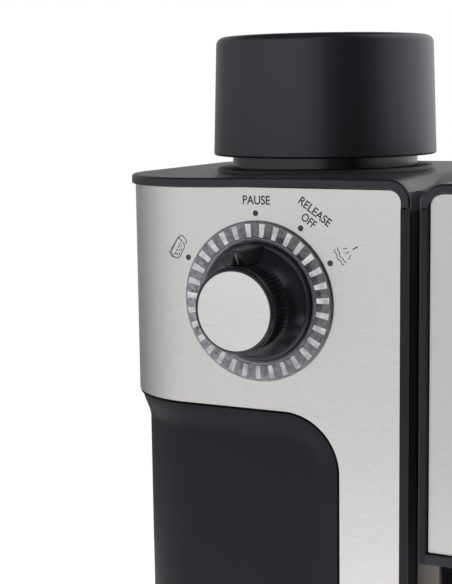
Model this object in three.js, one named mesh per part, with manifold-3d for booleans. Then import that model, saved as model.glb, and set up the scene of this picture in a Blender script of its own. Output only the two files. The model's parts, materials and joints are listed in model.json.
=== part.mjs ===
// A steam-pressure espresso maker for a worktop, modelled as an assembly of separate pieces.
// A tower on the left holds the boiler under a screw cap, with the control dial on its front.
// A brew head on the right overhangs a cup bay with a drip tray, and carries the steam wand.
// Millimetres. +X is to the right, +Y to the back and +Z up, and the machine faces -Y.
// The origin is on the standing surface, below the middle of the machine's outer box.
import * as THREE from "three";
import { mergeVertices } from "three/addons/utils/BufferGeometryUtils.js";
import Module from "manifold-3d";

const wasm = await Module();
wasm.setup();

// ---- Driving dimensions ----

const GAP = 0.3; // between pieces that touch on the real machine
const HALF_WIDTH = 130; // outer box, from the top cover's left edge to the steam wand's hub
const HALF_DEPTH = 123; // outer box, from the filter holder's handle to the top cover's back edge
const TOP_Z = 290; // upper face of the top cover
const PLATE = 3.6; // thickness of the top cover's rim, and width of every black frame band
const OVERHANG = 1.5; // of the top cover over the steel at the sides
const RIM_PROUD = 1.4; // of a frame band in front of the steel it frames
const STEEL = 0.8; // thickness of the steel panels
const WALL = 2.5; // thickness of the moulded shells
const SKIN = RIM_PROUD + STEEL + GAP; // from a rim's front to the shell behind the steel

const TOWER_FRONT = -0.6; // front of the rim above the dial
const HEAD_FRONT = -17; // front of the rim above the brew head
const GROOVE_LEFT = -3.9; // right side of the tower
const GROOVE_RIGHT = 5.1; // left side of the brew head
const HEAD_RIGHT = 109.5; // right edge of the top cover
const SEAM_Z = TOP_Z - 9.7; // where the top cover's corner bands meet the shells' bands
const REAR_SEAM = 100; // where the shells meet the rear cover
const CORNER = 35; // radius of the steel round the front corners
const HEAD_BOTTOM = 160; // underside of the brew head
const BAY_BACK = 76; // rear wall of the cup bay

const FOOT_HEIGHT = 3;
const SHELF_TOP = 8; // the shelf that the drip tray stands on
const PLINTH_TOP = 30; // the base's upper edge, where the tower stands
const BASE_FRONT = -58;

const RECESS_TOP = TOP_Z - 86; // the steel's lower edge above the recess in the tower
const RECESS_RIGHT = -30.8; // the recess's right edge
const RECESS_RADIUS = 22;
const RECESS_DEPTH = 4;

const TOWER_X = -62.7; // the dial, the boiler and its cap share this plane
const DIAL_Z = TOP_Z - 45.6;
const DIAL_RADIUS = 29.9; // opening in the steel for the clear ring
const KNOB_FLANGE = 21.7;
const KNOB_LENGTH = 21; // from the steel's face to the knob's end
const KNOB_END = 14.9;
const KNOB_DISC = 14.2;
const SPINDLE = 4;
const RELEASE_TURN = 32; // degrees from the rest mark to the release mark

const BOILER_Y = 65;
const NECK_RADIUS = 37.1; // black collar that shows between the top cover and the cap
const COLLAR_RADIUS = 43.5; // low raised ring of the top cover round the collar
const COLLAR_HEIGHT = 1.2;
const CAP_RADIUS = 44.6;
const CAP_BOTTOM = TOP_Z + 5.5;
const CAP_TOP = CAP_BOTTOM + 46.5;
const MOUTH_Z = 308; // upper edge of the boiler's mouth
const MOUTH_RADIUS = 30.5;
const BOILER_BOTTOM = 150;

const HEAD_X = (GROOVE_RIGHT + HEAD_RIGHT) / 2; // brew head axis
const HEAD_Y = 30.5;
const BOWL_RADIUS = 33.6;
const BOWL_TOP = 155.3;
const BOWL_BOTTOM = 127;
const LUG_RADIUS = 37.6;
const LOCK_TURN = 42; // degrees that the filter holder turns to unlock
const HANDLE_Z = 139;
const CLIP_Y = -45; // the basket clip's pin, from the brew head's axis
const CLIP_Z = 151;
const LUGS = 3;

const TRAY_FRONT = -60;
const TRAY_TOP = 34.5;

const WAND_Y = 32; // steam wand pivot
const WAND_Z = 215;
const WAND_X = HEAD_RIGHT + 11; // the wand's tube hangs in this plane

// ---- Materials ----

const finish = (color, roughness, metalness) => new THREE.MeshStandardMaterial({ color, roughness, metalness });
const blackPlastic = finish(0x2a2a2d, 0.45, 0);
const glossBlack = finish(0x131316, 0.15, 0);
const brushedSteel = finish(0xc9c8c6, 0.35, 1);
const polishedSteel = finish(0xd8d8d8, 0.12, 1);
const clearPlastic = new THREE.MeshStandardMaterial({
  color: 0xe8eaec,
  roughness: 0.08,
  metalness: 0,
  transparent: true,
  opacity: 0.4,
});
const castAluminium = finish(0xb4b5b6, 0.5, 1);
const brass = finish(0xb58d45, 0.35, 1);
const copper = finish(0xb0704a, 0.35, 1);
const rubber = finish(0x1a1a1a, 0.9, 0);
const silicone = finish(0xb5482f, 0.6, 0);
const circuitGreen = finish(0x1f5a3a, 0.6, 0);
const whiteCeramic = finish(0xe6e2d8, 0.7, 0);

// ---- Shape helpers ----

// Turns a closed three.js geometry into a solid that can be joined and cut.
function solid(geometry) {
  const bare = geometry.index ? geometry.toNonIndexed() : geometry.clone();
  bare.deleteAttribute("normal");
  bare.deleteAttribute("uv");
  const merged = mergeVertices(bare, 1e-4);
  return new wasm.Manifold(
    new wasm.Mesh({
      numProp: 3,
      vertProperties: new Float32Array(merged.attributes.position.array),
      triVerts: new Uint32Array(merged.index.array),
    }),
  );
}

function toGeometry(shape) {
  const mesh = shape.getMesh();
  const geometry = new THREE.BufferGeometry();
  geometry.setAttribute("position", new THREE.BufferAttribute(new Float32Array(mesh.vertProperties), 3));
  geometry.setIndex(new THREE.BufferAttribute(new Uint32Array(mesh.triVerts), 1));
  geometry.computeVertexNormals();
  return geometry;
}

function add(name, shape, material, parent) {
  const mesh = new THREE.Mesh(toGeometry(shape), material);
  mesh.name = name;
  parent.add(mesh);
}

const join = (...shapes) => shapes.reduce((a, b) => a.add(b));
const cut = (shape, ...tools) => tools.reduce((a, b) => a.subtract(b), shape);

function block(x0, x1, y0, y1, z0, z1) {
  const geometry = new THREE.BoxGeometry(x1 - x0, y1 - y0, z1 - z0);
  return solid(geometry.translate((x0 + x1) / 2, (y0 + y1) / 2, (z0 + z1) / 2));
}

// A round bar from z0 to z1 about the Z axis, moved to (x, y).
function post(radius, z0, z1, x = 0, y = 0, sides = 24) {
  const geometry = new THREE.CylinderGeometry(radius, radius, z1 - z0, sides).rotateX(Math.PI / 2);
  return solid(geometry.translate(x, y, (z0 + z1) / 2));
}

// A round bar along Y, from y0 to y1, about the line through (x, z).
function barY(radius, y0, y1, x, z, sides = 24) {
  const geometry = new THREE.CylinderGeometry(radius, radius, y1 - y0, sides);
  return solid(geometry.translate(x, (y0 + y1) / 2, z));
}

// A round bar along X, from x0 to x1, about the line through (y, z).
function barX(radius, x0, x1, y, z, sides = 24) {
  const geometry = new THREE.CylinderGeometry(radius, radius, x1 - x0, sides).rotateZ(Math.PI / 2);
  return solid(geometry.translate((x0 + x1) / 2, y, z));
}

// A body of revolution about Z, from points [radius, z] listed upwards on the outside.
function turned(points, sides = 36) {
  const profile = points.map(([r, z]) => new THREE.Vector2(r, z));
  return solid(new THREE.LatheGeometry(profile, sides).rotateX(Math.PI / 2));
}

function tubeRing(outer, inner, z0, z1, sides = 36) {
  return turned([[inner, z0], [outer, z0], [outer, z1], [inner, z1], [inner, z0]], sides);
}

// A closed outline through corners [x, y, radius], with each corner rounded to its radius.
function outline(corners) {
  const shape = new THREE.Shape();
  corners.forEach(([x, y, radius = 0], i) => {
    const here = new THREE.Vector2(x, y);
    if (!radius) {
      if (i) shape.lineTo(x, y);
      else shape.moveTo(x, y);
      return;
    }
    const [bx, by] = corners.at(i - 1);
    const [nx, ny] = corners[(i + 1) % corners.length];
    const before = new THREE.Vector2(bx, by).sub(here).normalize();
    const after = new THREE.Vector2(nx, ny).sub(here).normalize();
    const half = Math.acos(before.dot(after)) / 2;
    const start = here.clone().addScaledVector(before, radius / Math.tan(half));
    const end = here.clone().addScaledVector(after, radius / Math.tan(half));
    const inward = before.clone().add(after).normalize();
    const centre = here.clone().addScaledVector(inward, radius / Math.sin(half));
    if (i) shape.lineTo(start.x, start.y);
    const from = start.sub(centre).angle();
    const to = end.sub(centre).angle();
    shape.absarc(centre.x, centre.y, radius, from, to, before.cross(after) > 0);
  });
  return shape;
}

// An XY outline raised from z0 to z1.
function prism(corners, z0, z1, curveSegments = 6) {
  const options = { depth: z1 - z0, bevelEnabled: false, curveSegments };
  return solid(new THREE.ExtrudeGeometry(outline(corners), options).translate(0, 0, z0));
}

// An XZ outline carried along Y from y0 to y1.
function prismY(corners, y0, y1, curveSegments = 6) {
  const options = { depth: y1 - y0, bevelEnabled: false, curveSegments };
  const geometry = new THREE.ExtrudeGeometry(outline(corners), options);
  return solid(geometry.rotateX(Math.PI / 2).translate(0, y1, 0));
}

// A round pipe through points, with a few flat sides.
function pipe(points, radius, steps, sides = 8) {
  const section = new THREE.Shape();
  for (let i = 0; i < sides; i += 1) {
    const angle = (2 * Math.PI * i) / sides;
    const corner = [radius * Math.cos(angle), radius * Math.sin(angle)];
    if (i) section.lineTo(...corner);
    else section.moveTo(...corner);
  }
  const extrudePath = new THREE.CatmullRomCurve3(points.map((p) => new THREE.Vector3(...p)));
  return solid(new THREE.ExtrudeGeometry(section, { steps, extrudePath, bevelEnabled: false }));
}

// ---- Plan outlines of the two housings, pulled in by a distance ----

function towerPlan(inset, back) {
  const left = -HALF_WIDTH + OVERHANG + STEEL + GAP + inset;
  const front = TOWER_FRONT + SKIN + inset;
  const right = GROOVE_LEFT - inset;
  const radius = CORNER - STEEL - GAP - inset;
  return [[left, back], [left, front, radius], [right, front], [right, back]];
}

function headPlan(inset, back) {
  const left = GROOVE_RIGHT + inset;
  const front = HEAD_FRONT + SKIN + inset;
  const right = HEAD_RIGHT - OVERHANG - STEEL - GAP - inset;
  const radius = CORNER - STEEL - GAP - inset;
  return [[left, back], [left, front], [right, front, radius], [right, back]];
}

// The volume in front of the tower's recess, in the XZ plane, grown by a margin.
function recessWindow(margin) {
  const left = -HALF_WIDTH - 10;
  const right = RECESS_RIGHT + margin;
  const top = RECESS_TOP + margin;
  return [[left, 0], [right, 0], [right, top, RECESS_RADIUS + margin], [left, top]];
}

// ---- Base ----

function basePan() {
  const left = -HALF_WIDTH + OVERHANG + STEEL + GAP;
  const right = HEAD_RIGHT - OVERHANG;
  const back = HALF_DEPTH - 1.5;
  const towerFront = TOWER_FRONT + SKIN;
  const plinthRight = GROOVE_RIGHT - GAP;
  const corner = CORNER - STEEL - GAP;
  const plinth = prism(
    [[left, back, 15], [left, towerFront, corner], [plinthRight, towerFront, 2], [plinthRight, back]],
    FOOT_HEIGHT, PLINTH_TOP,
  );
  const rear = prism(
    [[plinthRight - 1, back], [plinthRight - 1, BAY_BACK], [right, BAY_BACK], [right, back, 15]],
    FOOT_HEIGHT, PLINTH_TOP,
  );
  const shelf = prism(
    [[plinthRight - 1, back], [plinthRight - 1, BASE_FRONT, 4], [right, BASE_FRONT, 18], [right, back, 15]],
    FOOT_HEIGHT, SHELF_TOP,
  );
  const cavity = prism(
    [
      [left + WALL, back - WALL, 12],
      [left + WALL, towerFront + WALL, corner - WALL],
      [plinthRight - WALL, towerFront + WALL],
      [plinthRight - WALL, BAY_BACK + WALL],
      [right - WALL, BAY_BACK + WALL],
      [right - WALL, back - WALL, 12],
    ],
    FOOT_HEIGHT + WALL, PLINTH_TOP + 1,
  );
  return cut(join(plinth, rear, shelf), cavity);
}

function base(parent) {
  add("base_pan", basePan(), blackPlastic, parent);
  const feet = {
    foot_front_left: [-106, 30],
    foot_front_right: [92, -40],
    foot_rear_left: [-108, 104],
    foot_rear_right: [90, 104],
  };
  for (const [name, [x, y]] of Object.entries(feet)) {
    const foot = turned([[0, 0], [7, 0], [8, FOOT_HEIGHT - GAP], [0, FOOT_HEIGHT - GAP]], 24);
    add(name, solid(toGeometry(foot).translate(x, y, 0)), rubber, parent);
  }
}

// ---- Tower ----

// The windows that the pipes take from the tower into the brew head.
const pipeWindow = () => block(GROOVE_LEFT - 6, GROOVE_RIGHT + 6, 14, 44, 226, 262);

function towerShell() {
  const z0 = PLINTH_TOP + GAP;
  const z1 = TOP_Z - PLATE - GAP;
  const full = prism(towerPlan(0, REAR_SEAM), z0, z1);
  const sunk = prism(towerPlan(RECESS_DEPTH, REAR_SEAM), z0 - 1, z1);
  const window = prismY(recessWindow(0), TOWER_FRONT - 5, REAR_SEAM + 5, 16);
  const band = block(GROOVE_LEFT - PLATE, GROOVE_LEFT, TOWER_FRONT, TOWER_FRONT + SKIN + 1, z0, SEAM_Z - GAP);
  const hollow = prism(towerPlan(RECESS_DEPTH + WALL, REAR_SEAM + 1), z0 - 1, z1 + 1);
  const upperHollow = prism(towerPlan(WALL, REAR_SEAM + 1), RECESS_TOP + 8, z1 + 1);
  const dialHole = barY(DIAL_RADIUS + 0.1, TOWER_FRONT, 20, TOWER_X, DIAL_Z, 48);
  const body = cut(full, cut(window, sunk), hollow, upperHollow, dialHole, pipeWindow());
  return join(body, band);
}

function dialPanel() {
  const left = -HALF_WIDTH + OVERHANG;
  const front = TOWER_FRONT + RIM_PROUD;
  const right = GROOVE_LEFT - PLATE - GAP;
  const back = REAR_SEAM - GAP;
  const z0 = PLINTH_TOP + GAP;
  const z1 = TOP_Z - PLATE - GAP;
  const outer = prism([[left, back], [left, front, CORNER], [right, front], [right, back]], z0, z1, 10);
  const inner = prism(
    [
      [left + STEEL, back + 1],
      [left + STEEL, front + STEEL, CORNER - STEEL],
      [right + 1, front + STEEL],
      [right + 1, back + 1],
    ],
    z0 - 1, z1 + 1, 10,
  );
  const window = prismY(recessWindow(0), TOWER_FRONT - 5, REAR_SEAM + 5, 16);
  const topCorner = cornerCut(right, z1, 1);
  const dialHole = barY(DIAL_RADIUS, TOWER_FRONT, 20, TOWER_X, DIAL_Z, 48);
  return cut(outer, inner, window, topCorner, dialHole);
}

// What rounds a steel panel's upper corner next to the groove: side is 1 on the tower and -1 on the head.
function cornerCut(x, z, side) {
  const radius = 4.3;
  const far = x - side * radius;
  const square = block(Math.min(x, far), Math.max(x, far) + 0.01, -40, 20, z - radius, z + 1);
  return cut(square, barY(radius, -41, 21, far, z - radius, 32));
}

// ---- Brew head housing ----

function headShell() {
  const z1 = TOP_Z - PLATE - GAP;
  const outer = prism(headPlan(0, REAR_SEAM), HEAD_BOTTOM, z1);
  const hollow = prism(headPlan(WALL, REAR_SEAM + 1), HEAD_BOTTOM + WALL, z1 + 1);
  const sideBand = block(
    GROOVE_RIGHT, GROOVE_RIGHT + PLATE, HEAD_FRONT, HEAD_FRONT + SKIN + 1, HEAD_BOTTOM, SEAM_Z - GAP,
  );
  const skirtOuter = [
    [GROOVE_RIGHT, REAR_SEAM],
    [GROOVE_RIGHT, HEAD_FRONT],
    [HEAD_RIGHT - OVERHANG + RIM_PROUD, HEAD_FRONT, CORNER + RIM_PROUD],
    [HEAD_RIGHT - OVERHANG + RIM_PROUD, REAR_SEAM],
  ];
  const skirt = cut(
    prism(skirtOuter, HEAD_BOTTOM, HEAD_BOTTOM + PLATE),
    prism(headPlan(WALL, REAR_SEAM + 1), HEAD_BOTTOM - 1, HEAD_BOTTOM + PLATE + 1),
  );
  const groupHole = post(42, HEAD_BOTTOM - 1, HEAD_BOTTOM + WALL + 1, HEAD_X, HEAD_Y, 36);
  const wandHole = barX(7.4, HEAD_RIGHT - 10, HEAD_RIGHT, WAND_Y, WAND_Z);
  return cut(join(cut(outer, hollow), sideBand, skirt), groupHole, wandHole, pipeWindow());
}

function headPanel() {
  const left = GROOVE_RIGHT + PLATE + GAP;
  const front = HEAD_FRONT + RIM_PROUD;
  const right = HEAD_RIGHT - OVERHANG;
  const back = REAR_SEAM - GAP;
  const z0 = HEAD_BOTTOM + PLATE + GAP;
  const z1 = TOP_Z - PLATE - GAP;
  const outer = prism([[left, back], [left, front], [right, front, CORNER], [right, back]], z0, z1, 10);
  const inner = prism(
    [
      [left - 1, back + 1],
      [left - 1, front + STEEL],
      [right - STEEL, front + STEEL, CORNER - STEEL],
      [right - STEEL, back + 1],
    ],
    z0 - 1, z1 + 1, 10,
  );
  const wandHole = barX(7.4, HEAD_RIGHT - 10, HEAD_RIGHT, WAND_Y, WAND_Z);
  return cut(outer, inner, cornerCut(left, z1, -1), wandHole);
}

// The wall at the back of the cup bay, and the right side of the column behind it.
function columnShell() {
  const left = GROOVE_LEFT + GAP;
  const right = HEAD_RIGHT - OVERHANG - STEEL - GAP;
  const z0 = PLINTH_TOP + GAP;
  const z1 = HEAD_BOTTOM - GAP;
  const outer = prism([[left, REAR_SEAM], [left, BAY_BACK], [right, BAY_BACK, 8], [right, REAR_SEAM]], z0, z1);
  const inner = prism(
    [
      [left + WALL, REAR_SEAM + 1],
      [left + WALL, BAY_BACK + WALL],
      [right - WALL, BAY_BACK + WALL, 6],
      [right - WALL, REAR_SEAM + 1],
    ],
    z0 - 1, z1 + 1,
  );
  return cut(outer, inner);
}

// The strip at the back of the groove between the tower and the brew head.
function grooveStrip() {
  const y = TOWER_FRONT + 9;
  return block(GROOVE_LEFT + GAP, GROOVE_RIGHT - GAP, y, y + 3, PLINTH_TOP + GAP, TOP_Z - PLATE - GAP);
}

function rearCover() {
  const left = -HALF_WIDTH + OVERHANG + STEEL + GAP;
  const right = HEAD_RIGHT - OVERHANG - STEEL - GAP;
  const front = REAR_SEAM + GAP;
  const back = HALF_DEPTH - 1.5;
  const z0 = PLINTH_TOP + GAP;
  const z1 = TOP_Z - PLATE - GAP;
  const outer = prism([[left, front], [right, front], [right, back, 15], [left, back, 15]], z0, z1);
  const inner = prism(
    [
      [left + WALL, front - 1],
      [right - WALL, front - 1],
      [right - WALL, back - WALL, 13],
      [left + WALL, back - WALL, 13],
    ],
    z0 - 1, z1 + 1,
  );
  let cover = cut(outer, inner);
  for (let i = 0; i < 7; i += 1) {
    const z = 236 + 6 * i;
    cover = cut(cover, block(TOWER_X - 30, TOWER_X + 30, back - WALL - 1, back + 1, z, z + 2.6));
  }
  return cut(cover, barY(8.3, back - WALL - 1, back + 1, TOWER_X, 52, 24));
}

function cableGland() {
  const back = HALF_DEPTH - 1.5;
  const body = join(
    barY(8, back - WALL - 8, back + GAP + 1.2, TOWER_X, 52, 24),
    barY(10.5, back + GAP, back + GAP + 1.2, TOWER_X, 52, 24),
    barY(10.5, back - WALL - 6, back - WALL - GAP, TOWER_X, 52, 24),
  );
  return cut(body, barY(3.6, back - 20, back + 10, TOWER_X, 52, 16));
}

// ---- Top cover ----

function topCover() {
  const plan = [
    [-HALF_WIDTH, HALF_DEPTH, 17],
    [-HALF_WIDTH, TOWER_FRONT, CORNER + OVERHANG],
    [GROOVE_LEFT, TOWER_FRONT],
    [GROOVE_LEFT, TOWER_FRONT + 9],
    [GROOVE_RIGHT, TOWER_FRONT + 9],
    [GROOVE_RIGHT, HEAD_FRONT],
    [HEAD_RIGHT, HEAD_FRONT, CORNER + OVERHANG],
    [HEAD_RIGHT, HALF_DEPTH, 17],
  ];
  const slab = prism(plan, TOP_Z - PLATE, TOP_Z, 8);
  const collar = post(COLLAR_RADIUS, TOP_Z - 1, TOP_Z + COLLAR_HEIGHT, TOWER_X, BOILER_Y, 48);
  const mouth = post(NECK_RADIUS + GAP, TOP_Z - 10, TOP_Z + 5, TOWER_X, BOILER_Y, 36);
  const bands = join(
    cornerBand(GROOVE_LEFT, TOWER_FRONT, 1),
    cornerBand(GROOVE_RIGHT, HEAD_FRONT, -1),
  );
  return cut(join(slab, collar, bands), mouth);
}

// The rounded corner of a frame band: it drops from the rim to the seam beside the groove.
function cornerBand(x, front, side) {
  const inner = x - side * PLATE;
  const far = inner - side * 6;
  const top = TOP_Z - PLATE;
  const corners = [[far, top + 1], [x, top + 1], [x, SEAM_Z], [inner, SEAM_Z], [inner, top, 4.3], [far, top]];
  if (side < 0) corners.reverse();
  return prismY(corners, front, front + SKIN - GAP);
}

// ---- Dial ----

const dialAxis = (parent) => {
  const group = new THREE.Group();
  group.position.set(TOWER_X, TOWER_FRONT + RIM_PROUD, DIAL_Z);
  group.rotation.x = Math.PI / 2; // the group's +Z points out of the panel
  parent.add(group);
  return group;
};

function dialKnob() {
  const body = turned([
    [0, 0.3],
    [KNOB_FLANGE, 0.3],
    [KNOB_FLANGE, 1.6],
    [KNOB_FLANGE - 1, 3.2],
    [18.6, 5.2],
    [16.6, 7.6],
    [15.2, 10.5],
    [14.3, 14],
    [14.3, KNOB_LENGTH - 2.5],
    [KNOB_END, KNOB_LENGTH - 1.5],
    [KNOB_END, KNOB_LENGTH - 0.3],
    [KNOB_DISC + 0.2, KNOB_LENGTH],
    [KNOB_DISC + 0.2, KNOB_LENGTH - 1.2],
    [0, KNOB_LENGTH - 1.2],
  ]);
  return cut(body, post(SPINDLE + GAP, -1, 13, 0, 0, 24));
}

// Clear ring with a web behind the knob, open for the spindle.
function lightRing() {
  return turned([
    [9, -5], [DIAL_RADIUS - GAP, -5], [DIAL_RADIUS - GAP, -0.4], [28.4, -0.4], [27.8, -1.4],
    [23.4, -1.4], [22.6, -0.4], [9, -0.4], [9, -5],
  ]);
}

function lampBoard() {
  const board = tubeRing(28, 8, -7.4, -5.8, 36);
  const lamps = [];
  for (let i = 0; i < 4; i += 1) {
    const angle = (Math.PI / 2) * i + Math.PI / 4;
    const [x, y] = [24 * Math.cos(angle), 24 * Math.sin(angle)];
    lamps.push(block(x - 1.5, x + 1.5, y - 1.5, y + 1.5, -6, -5.3));
  }
  return join(board, ...lamps);
}

// Spindle with a cam lobe that meets the switch when the dial is turned to its release mark.
function valveSpindle() {
  const shaft = post(SPINDLE, -22, 12.5);
  const lobe = prism([[0, -6, 2], [10, -3, 2.5], [10, 3, 2.5], [0, 6, 2]], -12, -9);
  const toRelease = THREE.MathUtils.degToRad(RELEASE_TURN);
  return join(shaft, solid(toGeometry(lobe).rotateZ(toRelease)));
}

function dial(housing) {
  const group = dialAxis(housing);
  add("light_ring", lightRing(), clearPlastic, group);
  add("lamp_board", lampBoard(), circuitGreen, group);
  add("dial_knob", dialKnob(), glossBlack, group);
  add("dial_disc", post(KNOB_DISC, KNOB_LENGTH - 1.2 + 0.2, KNOB_LENGTH - 0.1, 0, 0, 48), brushedSteel, group);
  add("valve_spindle", valveSpindle(), brass, group);
  const valve = cut(
    join(block(-13, 13, -13, 13, -25, -13), post(8, -27, -24)),
    post(SPINDLE + GAP, -23, 0),
  );
  add("valve_block", valve, brass, group);
  const plunger = block(10.4, 15, -1.2, 1.2, -11.6, -9.4);
  add("cam_switch", join(block(14, 27, -6, 6, -12.8, -7.8), plunger), glossBlack, group);
}

// ---- Boiler and its cap ----

const boilerAxis = (parent) => {
  const group = new THREE.Group();
  group.position.set(TOWER_X, BOILER_Y, 0);
  parent.add(group);
  return group;
};

function boilerBody() {
  const outer = MOUTH_RADIUS + 2.2;
  return turned([
    [0, BOILER_BOTTOM],
    [38, BOILER_BOTTOM],
    [40, BOILER_BOTTOM + 3],
    [40, 216],
    [outer, 228],
    [outer, MOUTH_Z - 2],
    [MOUTH_RADIUS, MOUTH_Z - 2],
    [MOUTH_RADIUS, 228],
    [36.5, 215],
    [36.5, BOILER_BOTTOM + 6],
    [34, BOILER_BOTTOM + 4],
    [0, BOILER_BOTTOM + 4],
  ]);
}

// Sheathed heater in an open loop below the boiler, with both ends turned down.
function heatingElement() {
  const points = [[-8, -36, 132]];
  const z = BOILER_BOTTOM - 5.5;
  for (let i = 0; i <= 10; i += 1) {
    const angle = -Math.PI / 2 - 0.35 - (i / 10) * (2 * Math.PI - 0.7);
    points.push([29 * Math.cos(angle), 29 * Math.sin(angle), z]);
  }
  points.push([8, -36, 132]);
  return pipe(points, 4, 40);
}

// Sheet bracket that carries the boiler on two legs above the base.
function boilerBracket() {
  const top = BOILER_BOTTOM - 11;
  const foot = FOOT_HEIGHT + WALL + GAP;
  const profile = [
    [-46, foot], [-36, foot], [-36, foot + 1.5], [-44.5, foot + 1.5], [-44.5, top - 1.5],
    [44.5, top - 1.5], [44.5, foot + 1.5], [36, foot + 1.5], [36, foot], [46, foot],
    [46, top], [-46, top],
  ];
  return cut(prismY(profile, -20, 20), post(14, top - 5, top + 5));
}

function reliefSpring() {
  const points = [];
  const turns = 7;
  const steps = 8 * turns;
  for (let i = 0; i <= steps; i += 1) {
    const angle = (2 * Math.PI * i) / 8;
    points.push([2.5 * Math.cos(angle), 2.5 * Math.sin(angle), 301 + (31 * i) / steps]);
  }
  return pipe(points, 0.45, steps + turns, 5);
}

function boiler(housing) {
  const group = boilerAxis(housing);
  add("boiler_body", boilerBody(), castAluminium, group);
  add("filler_neck", tubeRing(NECK_RADIUS, MOUTH_RADIUS + 2.5, TOP_Z - 9, MOUTH_Z), glossBlack, group);
  add("heating_element", heatingElement(), castAluminium, group);
  add("boiler_bracket", boilerBracket(), brushedSteel, group);
  const thermostat = join(
    post(8, BOILER_BOTTOM - 9, BOILER_BOTTOM - GAP),
    post(2.5, BOILER_BOTTOM - 15, BOILER_BOTTOM - 8, 4, 0, 12),
  );
  add("thermostat", thermostat, whiteCeramic, group);
  add("thermal_fuse", barY(2.5, -12, 12, 43, 190, 12), whiteCeramic, group);
}

function capShell() {
  return turned([
    [0, 334],
    [6.3, 334],
    [6.3, 315],
    [16, 315],
    [16, CAP_TOP - 5],
    [CAP_RADIUS - 5, CAP_TOP - 5],
    [CAP_RADIUS - 3.2, CAP_BOTTOM],
    [CAP_RADIUS - 0.8, CAP_BOTTOM],
    [CAP_RADIUS, CAP_BOTTOM + 0.8],
    [CAP_RADIUS - 1.8, CAP_TOP - 3],
    [CAP_RADIUS - 4.8, CAP_TOP],
    [0, CAP_TOP],
  ], 48);
}

function boilerCap(housing) {
  const group = boilerAxis(housing);
  add("cap_shell", capShell(), blackPlastic, group);
  const plug = turned([
    [6.3, 292], [28, 292], [MOUTH_RADIUS - 0.4, 294], [MOUTH_RADIUS - 0.4, 310.7], [36.5, 310.7],
    [36.5, 314.7], [6.3, 314.7], [6.3, 292],
  ]);
  add("cap_plug", plug, castAluminium, group);
  add("cap_seal", tubeRing(36.4, MOUTH_RADIUS, MOUTH_Z + GAP, 310.4), silicone, group);
  const cartridge = turned([[1.5, 290], [6, 290], [6, 333], [3.5, 333], [3.5, 294], [1.5, 294], [1.5, 290]], 24);
  add("relief_cartridge", cartridge, brass, group);
  const plunger = turned([[0, 294.3], [3.2, 294.3], [3.2, 300], [1.4, 300], [1.4, 310], [0, 310]], 16);
  add("relief_plunger", plunger, brass, group);
  add("relief_spring", reliefSpring(), polishedSteel, group);
}

// ---- Brew group and filter holder ----

const groupAxis = (parent) => {
  const group = new THREE.Group();
  group.position.set(HEAD_X, HEAD_Y, 0);
  parent.add(group);
  return group;
};

// A sector of a ring between two angles in degrees.
function sector(outer, inner, z0, z1, from, to) {
  const shape = new THREE.Shape();
  const [a, b] = [THREE.MathUtils.degToRad(from), THREE.MathUtils.degToRad(to)];
  shape.absarc(0, 0, outer, a, b, false);
  shape.absarc(0, 0, inner, b, a, true);
  shape.closePath();
  const options = { depth: z1 - z0, bevelEnabled: false, curveSegments: 5 };
  return solid(new THREE.ExtrudeGeometry(shape, options).translate(0, 0, z0));
}

function bayonetRing() {
  const lip = 34.6;
  let ring = turned([
    [lip, 145.5], [41.5, 145.5], [41.5, 168], [38.4, 168], [38.4, 149.2], [lip, 149.2], [lip, 145.5],
  ]);
  for (let i = 0; i < LUGS; i += 1) {
    const middle = 90 + (360 / LUGS) * i - LOCK_TURN;
    ring = cut(ring, sector(38.4, lip - 2, 144, 150, middle - 20, middle + 20));
  }
  return ring;
}

function filterBowl() {
  let bowl = turned([
    [0, BOWL_BOTTOM],
    [26, BOWL_BOTTOM],
    [31, BOWL_BOTTOM + 3],
    [BOWL_RADIUS, BOWL_BOTTOM + 10],
    [BOWL_RADIUS, BOWL_TOP],
    [31.9, BOWL_TOP],
    [31.9, BOWL_TOP - 1.6],
    [29.5, BOWL_TOP - 1.6],
    [29.5, BOWL_BOTTOM + 5],
    [26, BOWL_BOTTOM + 3],
    [0, BOWL_BOTTOM + 3],
  ]);
  for (let i = 0; i < LUGS; i += 1) {
    const middle = 90 + (360 / LUGS) * i;
    bowl = join(bowl, sector(LUG_RADIUS, BOWL_RADIUS - 1, 149.6, 153, middle - 15, middle + 15));
  }
  const socket = barY(6.5, -BOWL_RADIUS - 15, -BOWL_RADIUS + 1.5, 0, HANDLE_Z);
  const drains = [-7, 7].map((x) => post(2, BOWL_BOTTOM - 1, BOWL_BOTTOM + 4, x, 0, 12));
  const saddle = block(-9.5, 9.5, CLIP_Y - 3, CLIP_Y + 2.5, HANDLE_Z + 4, CLIP_Z - 3);
  const ears = [-9.5, 7].map((x) => block(x, x + 2.5, CLIP_Y - 3, CLIP_Y + 2.5, CLIP_Z - 4, CLIP_Z + 2.5));
  const pinBore = barX(1.4 + GAP, -10, 10, CLIP_Y, CLIP_Z, 16);
  return cut(join(bowl, socket, saddle, ...ears), pinBore, ...drains);
}

// Grip that tapers to a neck, with its axis along -Y from the bowl.
function holderHandle() {
  const length = HALF_DEPTH + HEAD_Y;
  const grip = turned([
    [0, 49], [8.5, 49], [9.5, 52], [10, 60], [12.2, 76], [13, 100], [12, 130], [10.5, length - 4],
    [7, length], [0, length],
  ]);
  const geometry = toGeometry(grip).rotateX(Math.PI / 2).translate(0, 0, HANDLE_Z);
  return solid(geometry);
}

function spoutBlock() {
  const z1 = BOWL_BOTTOM - GAP;
  const body = prism([[-13, -7, 6], [13, -7, 6], [13, 7, 6], [-13, 7, 6]], z1 - 5, z1);
  const parts = [body];
  const bores = [];
  for (const side of [-1, 1]) {
    const spout = turned([[0, 113], [4.5, 113], [5.4, z1 - 4], [0, z1 - 4]], 20);
    parts.push(solid(toGeometry(spout).translate(side * 7, 0, 0)));
    bores.push(post(2.2, 112, z1 + 1, side * 7, 0, 12));
  }
  return cut(join(...parts), ...bores);
}

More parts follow.
